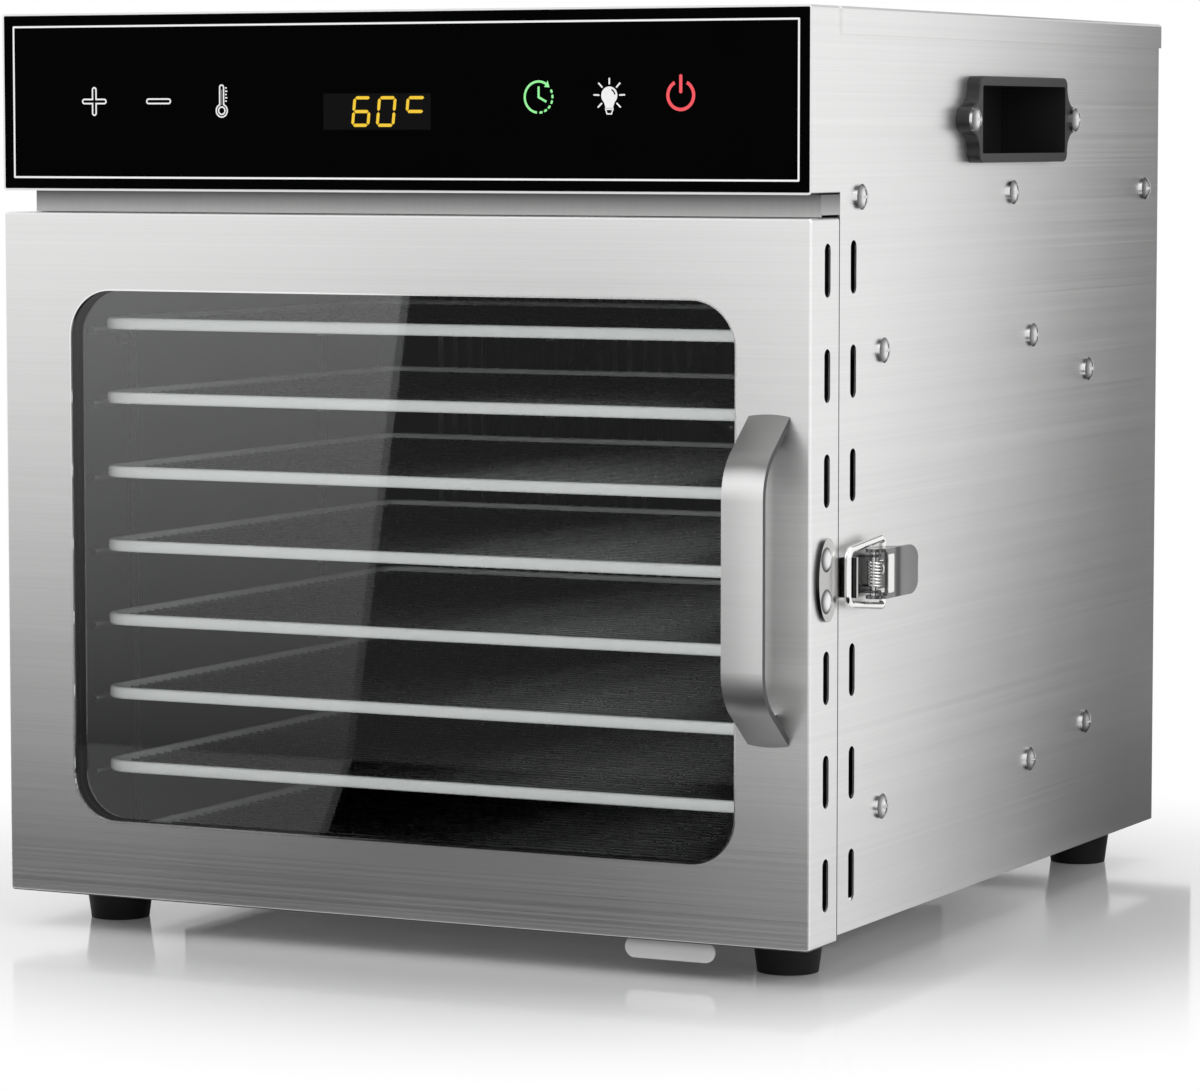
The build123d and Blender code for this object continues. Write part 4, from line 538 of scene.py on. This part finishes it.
clock = {"x": 62.2, "z": 326.5, "radius": 5.75, "line": 0.85, "from": 263, "to": 58, "tip": 38, "dash": 3}
hub = (0, 0)
arc = sweepArc(hub, clock["radius"], clock["line"], clock["from"], clock["to"], 40)
tip = [(clock["radius"] * math.cos(math.radians(a)) * r, clock["radius"] * math.sin(math.radians(a)) * r)
       for a, r in ((clock["to"], 1.24), (clock["to"], 0.76), (clock["tip"], 1.0))]
mark("timerArc", arc + [tip], "green", clock["x"], clock["z"])
hands = [(-0.42, 3.9), (-0.42, -0.28), (3.05, -2.1), (3.45, -1.4), (0.42, 0.22), (0.42, 3.9)]
mark("timerHands", [hands], "green", clock["x"], clock["z"])
dots = []
for a in (22, 2, -19, -40, -60, -80):
    ends = [(clock["radius"] * math.cos(math.radians(b)), clock["radius"] * math.sin(math.radians(b)))
            for b in (a + clock["dash"], a - clock["dash"])]
    dots += bar(*ends, clock["line"])
mark("timerDots", dots, "green", clock["x"], clock["z"])

bulb = {"x": 91.3, "z": 327.0, "radius": 3.3, "gleam": 2.3, "gleamLine": 0.55, "proud": 0.02, "sunk": 0.01,
        "rayFrom": 4.3, "rayTo": 6.2, "ray": 0.6}
neck = [(-1.65, -4.0), (-1.65, -4.6), (1.65, -4.6), (1.65, -4.0)]
bulbShape = roundEnd(hub, bulb["radius"], -48, 228, 30) + neck
cap = between([(-1.85, -4.75), (1.85, -4.75), (1.1, -7.0), (-1.1, -7.0)],
              [(-1.2, -5.3), (1.2, -5.3), (0.75, -6.5), (-0.75, -6.5)])
mark("lampMark", [bulbShape] + cap, "white", bulb["x"], bulb["z"])
gleam = shifted(sweepArc(hub, bulb["gleam"], bulb["gleamLine"], 8, 68, 10), bulb["x"], bulb["z"])
inkFront = panel["front"] - panel["proud"]
plate("lampGleam", gleam, inkFront - bulb["proud"], inkFront + bulb["sunk"], "cabinet", finishes["panel_black"])
rays = []
for a in (-43, 2, 46, 90, 134, 178, 223):
    way = (math.cos(math.radians(a)), math.sin(math.radians(a)))
    ends = [(way[0] * far, way[1] * far) for far in (bulb["rayFrom"], bulb["rayTo"])]
    rays += bar(*ends, bulb["ray"])
mark("lampRays", rays, "white", bulb["x"], bulb["z"])

power = {"x": 120.3, "z": 327.0, "radius": 5.2, "line": 1.25, "gap": 28, "foot": 1.3, "top": 7.0}
at = (power["x"], power["z"])
ring = sweepArc(hub, power["radius"], power["line"], 90 + power["gap"], 450 - power["gap"], 44)
mark("powerRing", ring, "red", *at)
mark("powerBar", bar((0, power["foot"]), (0, power["top"]), power["line"]), "red", *at)
print("control panel marks made")


# bright folded edge round the window
window = {"front": -178.75, "halfWide": 142.5, "low": 44.5, "high": 252.5, "corner": 18.0, "lap": 0.4,
          "reveal": 0.25, "proud": 0.12, "deep": 0.8}


def windowOutline(grow):
    low, high = window["low"] - grow, window["high"] + grow
    return roundedBox(window["halfWide"] + grow, low, high, window["corner"] + grow, 14)


folded = between(windowOutline(window["lap"]), windowOutline(-window["reveal"]))
plate("windowEdge", folded, window["front"] - window["proud"], window["front"] + window["deep"], "door",
      brightNickel)
print("window edge made")


# lip that closes the joint between the header strip and the door
lip = {"drop": 0.75, "lap": 0.4, "deep": 0.8, "proud": 0.05}
lipFoot = stripLow[2] / mm
strip = [(stripLow[0] / mm, lipFoot - lip["drop"]), (stripHigh[0] / mm, lipFoot - lip["drop"]),
         (stripHigh[0] / mm, lipFoot + lip["lap"]), (stripLow[0] / mm, lipFoot + lip["lap"])]
lipFront = stripLow[1] / mm
# the lip takes the header strip's finish and its painted shade
plate("headerLip", [strip], lipFront - lip["proud"], lipFront + lip["deep"], "cabinet", special["header_strip"])


# painted highlight: a bright pad on the latch lever's web
pad = {"inner": 182.7, "outer": 183.1, "front": -130.6, "back": -125.0, "level": 150.3, "half": 7.2, "corner": 0.8}
middle, wide = (pad["front"] + pad["back"]) / 2, (pad["back"] - pad["front"]) / 2
face = roundedBox(wide, pad["level"] - pad["half"], pad["level"] + pad["half"], pad["corner"], 4)
plate("leverPad", shifted([face], middle, 0), pad["outer"], pad["inner"], "latch_lever", brightNickel,
      sideways=True)
print("header lip and lever pad made")


# black screen cloth behind the rear intake holes
screen = {"z": 157.5, "outer": 70.0, "inner": 28.0, "front": 189.7, "back": 190.4}
cloth = between(*[roundEnd((0, screen["z"]), screen[end], 0, 360, 72)[:-1] for end in ("outer", "inner")])
plate("intakeScreen", cloth, screen["front"], screen["back"], "cabinet", finishes["inner_black"])
print("intake screen made")


# trays of welded wire
tray = {"half": 149.0, "front": -146.75, "back": 91.25, "corner": 12.0, "rim": 1.7, "tall": 2.35, "lift": 0.4,
        "wire": 0.5, "pitch": 6.25, "low": 31.9, "step": 29.4, "count": 8, "stay": 1.1, "bite": 0.3, "square": 0.6}


def tube(form, path, radius, sides, closed, tall=None):  # round wire along points, in mm, or a flatter bar
    rings = []
    count = len(path)
    for k, spot in enumerate(path):
        ahead = path[(k + 1) % count] if closed or k < count - 1 else spot
        behind = path[k - 1] if closed or k > 0 else spot
        way = (Vector(ahead) - Vector(behind)).normalized()
        side = way.cross(Vector((0, 0, 1))).normalized()
        rise = side.cross(way)
        ring = []
        for n in range(sides):
            a = 2 * math.pi * n / sides
            across, up = radius * math.cos(a), radius * math.sin(a)
            if tall:
                across = math.copysign(radius * abs(math.cos(a)) ** tray["square"], across)
                up = math.copysign(tall * abs(math.sin(a)) ** tray["square"], up)
            ring.append(form.verts.new((Vector(spot) + side * across + rise * up) * mm))
        rings.append(ring)
    for k in range(count if closed else count - 1):
        one, two = rings[k], rings[(k + 1) % count]
        for n in range(sides):
            form.faces.new((one[n], one[(n + 1) % sides], two[(n + 1) % sides], two[n]))
    if not closed:
        form.faces.new(rings[0][::-1])
        form.faces.new(rings[-1])


def cornerPull(past):  # how far a wire draws in where the rim rounds its corner
    return tray["corner"] - math.sqrt(max(tray["corner"] ** 2 - past ** 2, 0)) if past > 0 else 0


def trayRim():
    form = bmesh.new()
    outline = roundedBox(tray["half"], tray["front"], tray["back"], tray["corner"], 8)
    tube(form, [(x, y, tray["low"] + tray["lift"]) for x, y in outline], tray["rim"], 20, True, tray["tall"])
    return form


def trayNet():
    form = bmesh.new()
    middle = (tray["front"] + tray["back"]) / 2
    deep = (tray["back"] - tray["front"]) / 2
    upper, lower = tray["low"] + tray["wire"], tray["low"] - tray["wire"]
    rows = round(2 * deep / tray["pitch"])
    for k in range(1, rows):
        y = tray["front"] + k * 2 * deep / rows
        reach = tray["half"] - cornerPull(abs(y - middle) - deep + tray["corner"])
        tube(form, [(-reach, y, upper), (reach, y, upper)], tray["wire"], 6, False)
    columns = round(2 * tray["half"] / tray["pitch"])
    for k in range(1, columns):
        x = -tray["half"] + k * 2 * tray["half"] / columns
        reach = deep - cornerPull(abs(x) - tray["half"] + tray["corner"])
        tube(form, [(x, middle - reach, lower), (x, middle + reach, lower)], tray["wire"], 6, False)
    for x in (-tray["half"] / 3, tray["half"] / 3):  # two stays under the net
        drop = tray["low"] - 2 * tray["wire"] - tray["stay"] + tray["bite"]
        tube(form, [(x, tray["front"], drop), (x, tray["back"], drop)], tray["stay"], 10, False)
    return form


firsts = [pieceFrom("trayNet_1", trayNet(), "tray_1", finishes["wire_chrome"], smooth=True),
          pieceFrom("trayRim_1", trayRim(), "tray_1", rimSheenCoat, smooth=True)]
for piece in firsts:
    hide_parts("tray_1")
for number in range(2, tray["count"] + 1):
    for first in firsts:
        piece = bpy.data.objects.new(first.name.replace("_1", f"_{number}"), first.data)
        bpy.context.scene.collection.objects.link(piece)
        piece.location.z = (number - 1) * tray["step"] * mm
        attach(piece, f"tray_{number}")
        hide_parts(f"tray_{number}")
trayRims = bpy.data.collections.new("trayRims")
for number in range(1, tray["count"] + 1):
    trayRims.objects.link(bpy.data.objects[f"trayRim_{number}"])
print("wire trays made")


# torsion spring round the latch pin: a straight leg, the coil and a hook
spring = {"x": 178.1, "y": -132.25, "z": 150.3, "radius": 2.35, "wire": 0.42, "turns": 8, "pitch": 1.2, "leg": 4.4,
          "hook": 3.2, "perTurn": 28}
steps = spring["perTurn"] * spring["turns"]
winding = []
for k in range(steps + 1):
    turn = spring["turns"] * k / steps
    a = 2 * math.pi * turn
    rise = spring["z"] + (turn - spring["turns"] / 2) * spring["pitch"]
    across, deep = spring["radius"] * math.sin(a), spring["radius"] * math.cos(a)
    winding.append((spring["x"] + across, spring["y"] + deep, rise))
foot, end = winding[0], winding[-1]
winding = [(foot[0] - spring["leg"], *foot[1:])] + winding + [(end[0] + spring["hook"], *end[1:])]
form = bmesh.new()
tube(form, winding, spring["wire"], 10, False)
piece = pieceFrom("latchSpring", form, "cabinet", brightNickel, smooth=True)
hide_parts("latch_spring")
print("latch spring wound")


# floor, dark cards for the steel to mirror, lamps and camera
def card(name, corners, finish):
    form = bmesh.new()
    form.faces.new([form.verts.new(Vector(spot) * mm) for spot in corners])
    mesh = bpy.data.meshes.new(name)
    form.to_mesh(mesh)
    form.free()
    mesh.materials.append(finish)
    piece = bpy.data.objects.new(name, mesh)
    bpy.context.scene.collection.objects.link(piece)
    return piece


floorLook = {"reach": 6000, "level": -0.2, "tone": (0.72, 0.72, 0.73), "rough": 0.09, "lift": 0.03,
             "near": 0.20, "far": 0.42}
floorFinish, strand, shader = blank("paleFloor", Base_Color=(*floorLook["tone"], 1), Roughness=floorLook["rough"])
away = strand.make("ShaderNodeVectorMath", {"operation": "LENGTH"}, {0: place(strand, (1, 1, 1))}, out="Value")
fade = ramp(strand, away, (floorLook["near"], floorLook["far"]), 1.0, floorLook["lift"])
white = strand.make("ShaderNodeEmission", None, {"Color": (1, 1, 1, 1), "Strength": 1.0})
main = Strand(strand.tree, shader.outputs["BSDF"])
both = strand.make("ShaderNodeMixShader", None, {0: fade, 1: main, 2: white})
both.into(strand.tree.nodes["Material Output"], "Surface")
r, level = floorLook["reach"], floorLook["level"]
card("floor", [(-r, -r, level), (r, -r, level), (r, r, level), (-r, r, level)], floorFinish)


def flagCloth(name, along, clearAt, fullAt, most):  # dark on one side only, thinning out along a direction
    finish, strand, shader = blank(name, Roughness=1.0, Specular_IOR_Level=0.0, Base_Color=(0, 0, 0, 1))
    where = place(strand, along)
    reach = part(strand, where, "Y") + part(strand, where, "Z")
    cover = ramp(strand, reach, (clearAt, fullAt), most, soft=False)
    front = 1 - strand.make("ShaderNodeNewGeometry", out="Backfacing")
    clear = strand.make("ShaderNodeBsdfTransparent", None, {"Color": (1, 1, 1, 1)})
    dark = Strand(strand.tree, shader.outputs["BSDF"])
    both = strand.make("ShaderNodeMixShader", None, {0: front * cover, 1: clear, 2: dark})
    both.into(strand.tree.nodes["Material Output"], "Surface")
    return finish


fullCloth = flagCloth("flagCloth", (0, 0, 1), -2.0, -1.0, 1.0)
thinCloth = flagCloth("thinCloth", (0, 0, 1), -2.0, -1.0, 0.65)
leftCloth = flagCloth("leftCloth", (0, 0, 1), 0.235, 0.0, 0.8)
frontCloth = flagCloth("frontCloth", (0, 0, 1), -2.0, -1.0, 0.9)
sideCloth = flagCloth("sideCloth", (0, 1, -0.38), -0.034, 0.238, 0.9)
backCloth = flagCloth("backCloth", (0, 0, 1), 0.36, 0.05, 0.85)
topCloth = flagCloth("topCloth", (0, 1, 0), -0.2, 0.35, 0.8)
flags = [
    ("frontFlag", frontCloth, [(-266, -678, 236), (-80, -678, 236), (-80, -678, 0), (-300, -678, 0)]),
    ("leftFlag", leftCloth, [(-1200, -678, 236), (-266, -678, 236), (-300, -678, 0), (-1200, -678, 0)]),
    ("stepFlag", fullCloth, [(-1200, -430, 0.3), (620, -430, 0.3), (620, -205, 0.3), (-1200, -205, 0.3)]),
    ("rightStepFlag", fullCloth, [(-300, -678, 0.3), (620, -678, 0.3), (620, -430, 0.3), (-176, -430, 0.3)]),
    ("leftStepFlag", fullCloth, [(-1200, -678, 0.3), (-463, -678, 0.3), (-310, -430, 0.3), (-1200, -430, 0.3)]),
    ("gapFlag", thinCloth, [(-463, -678, 0.3), (-300, -678, 0.3), (-176, -430, 0.3), (-310, -430, 0.3)]),
    ("sideFlag", sideCloth, [(250, -60, 0.3), (250, -60, 410), (250, 620, 410), (250, 620, 0.3)]),
    ("sideStepFlag", sideCloth, [(176, -60, 0.3), (250, -60, 0.3), (250, 620, 0.3), (176, 620, 0.3)]),
    ("leftSideFlag", sideCloth, [(-250, -60, 60), (-250, 620, 60), (-250, 620, 410), (-250, -60, 410)]),
    ("backFlag", backCloth, [(-172, 245, 20), (172, 245, 20), (172, 245, 410), (-172, 245, 410)]),
    ("topFlag", topCloth, [(-300, -150, 470), (-300, 420, 470), (300, 420, 470), (300, -150, 470)]),
]
for name, finish, corners in flags:
    flag = card(name, corners, finish)
    flag.visible_camera = flag.visible_diffuse = flag.visible_shadow = False
    flag.visible_transmission = flag.visible_volume_scatter = False

lamps = [
    {"name": "keyBox", "at": (-1.1, -1.7, 1.9), "size": 1.5, "watts": 26, "mirrored": False},
    {"name": "sideBox", "at": (1.9, -0.9, 1.3), "size": 1.2, "watts": 14},
    {"name": "topBox", "at": (0.1, 0.2, 2.2), "size": 1.6, "watts": 14},
    {"name": "trayFill", "at": (0.25, -1.5, 0.3), "size": 0.8, "watts": 11, "mirrored": False,
     "only": trayRims},  # lights the tray rims through the window
]
lampAim = Vector((0, 0, 0.17))
for lamp in lamps:
    light = bpy.data.lights.new(lamp["name"], "AREA")
    light.energy, light.size = lamp["watts"], lamp["size"]
    holder = bpy.data.objects.new(lamp["name"], light)
    holder.location = lamp["at"]
    holder.rotation_euler = (lampAim - Vector(lamp["at"])).to_track_quat("-Z", "Y").to_euler()
    bpy.context.scene.collection.objects.link(holder)
    holder.visible_glossy = lamp.get("mirrored", True)
    if "only" in lamp:
        holder.light_linking.receiver_collection = lamp["only"]

skyLook = {"dim": 0.5, "bright": 1.0}  # rays that light the scene, rays that see the sky
world = bpy.data.worlds.new("studio")
world.use_nodes = True
bpy.context.scene.world = world
strand = Strand(world.node_tree)
world.node_tree.nodes.remove(world.node_tree.nodes["Background"])
seen = strand.make("ShaderNodeLightPath", out="Is Camera Ray")
seen = seen + strand.make("ShaderNodeLightPath", out="Is Glossy Ray")
seen = seen + strand.make("ShaderNodeLightPath", out="Is Transmission Ray")
dim = strand.make("ShaderNodeBackground", None, {"Color": (1, 1, 1, 1), "Strength": skyLook["dim"]})
bright = strand.make("ShaderNodeBackground", None, {"Color": (1, 1, 1, 1), "Strength": skyLook["bright"]})
sky = strand.make("ShaderNodeMixShader", None, {0: strand.sum("MINIMUM", seen, 1.0), 1: dim, 2: bright})
sky.into(world.node_tree.nodes["World Output"], "Surface")

view = {"yaw": 26.083, "pitch": 4.848, "away": 1.91666, "target": (0.038542, -0.07875, 0.151474), "lens": 146.1,
        "sensor": 36.0}
yaw, pitch = math.radians(view["yaw"]), math.radians(view["pitch"])
back = Vector((math.sin(yaw) * math.cos(pitch), -math.cos(yaw) * math.cos(pitch), math.sin(pitch)))
eye = bpy.data.cameras.new("photoView")
eye.lens, eye.sensor_width, eye.sensor_fit = view["lens"], view["sensor"], "HORIZONTAL"
viewer = bpy.data.objects.new("photoView", eye)
viewer.location = Vector(view["target"]) + back * view["away"]
viewer.rotation_euler = back.to_track_quat("Z", "Y").to_euler()
bpy.context.scene.collection.objects.link(viewer)
bpy.context.scene.camera = viewer
bpy.context.scene.view_settings.view_transform = "Standard"
print("stage and camera set")
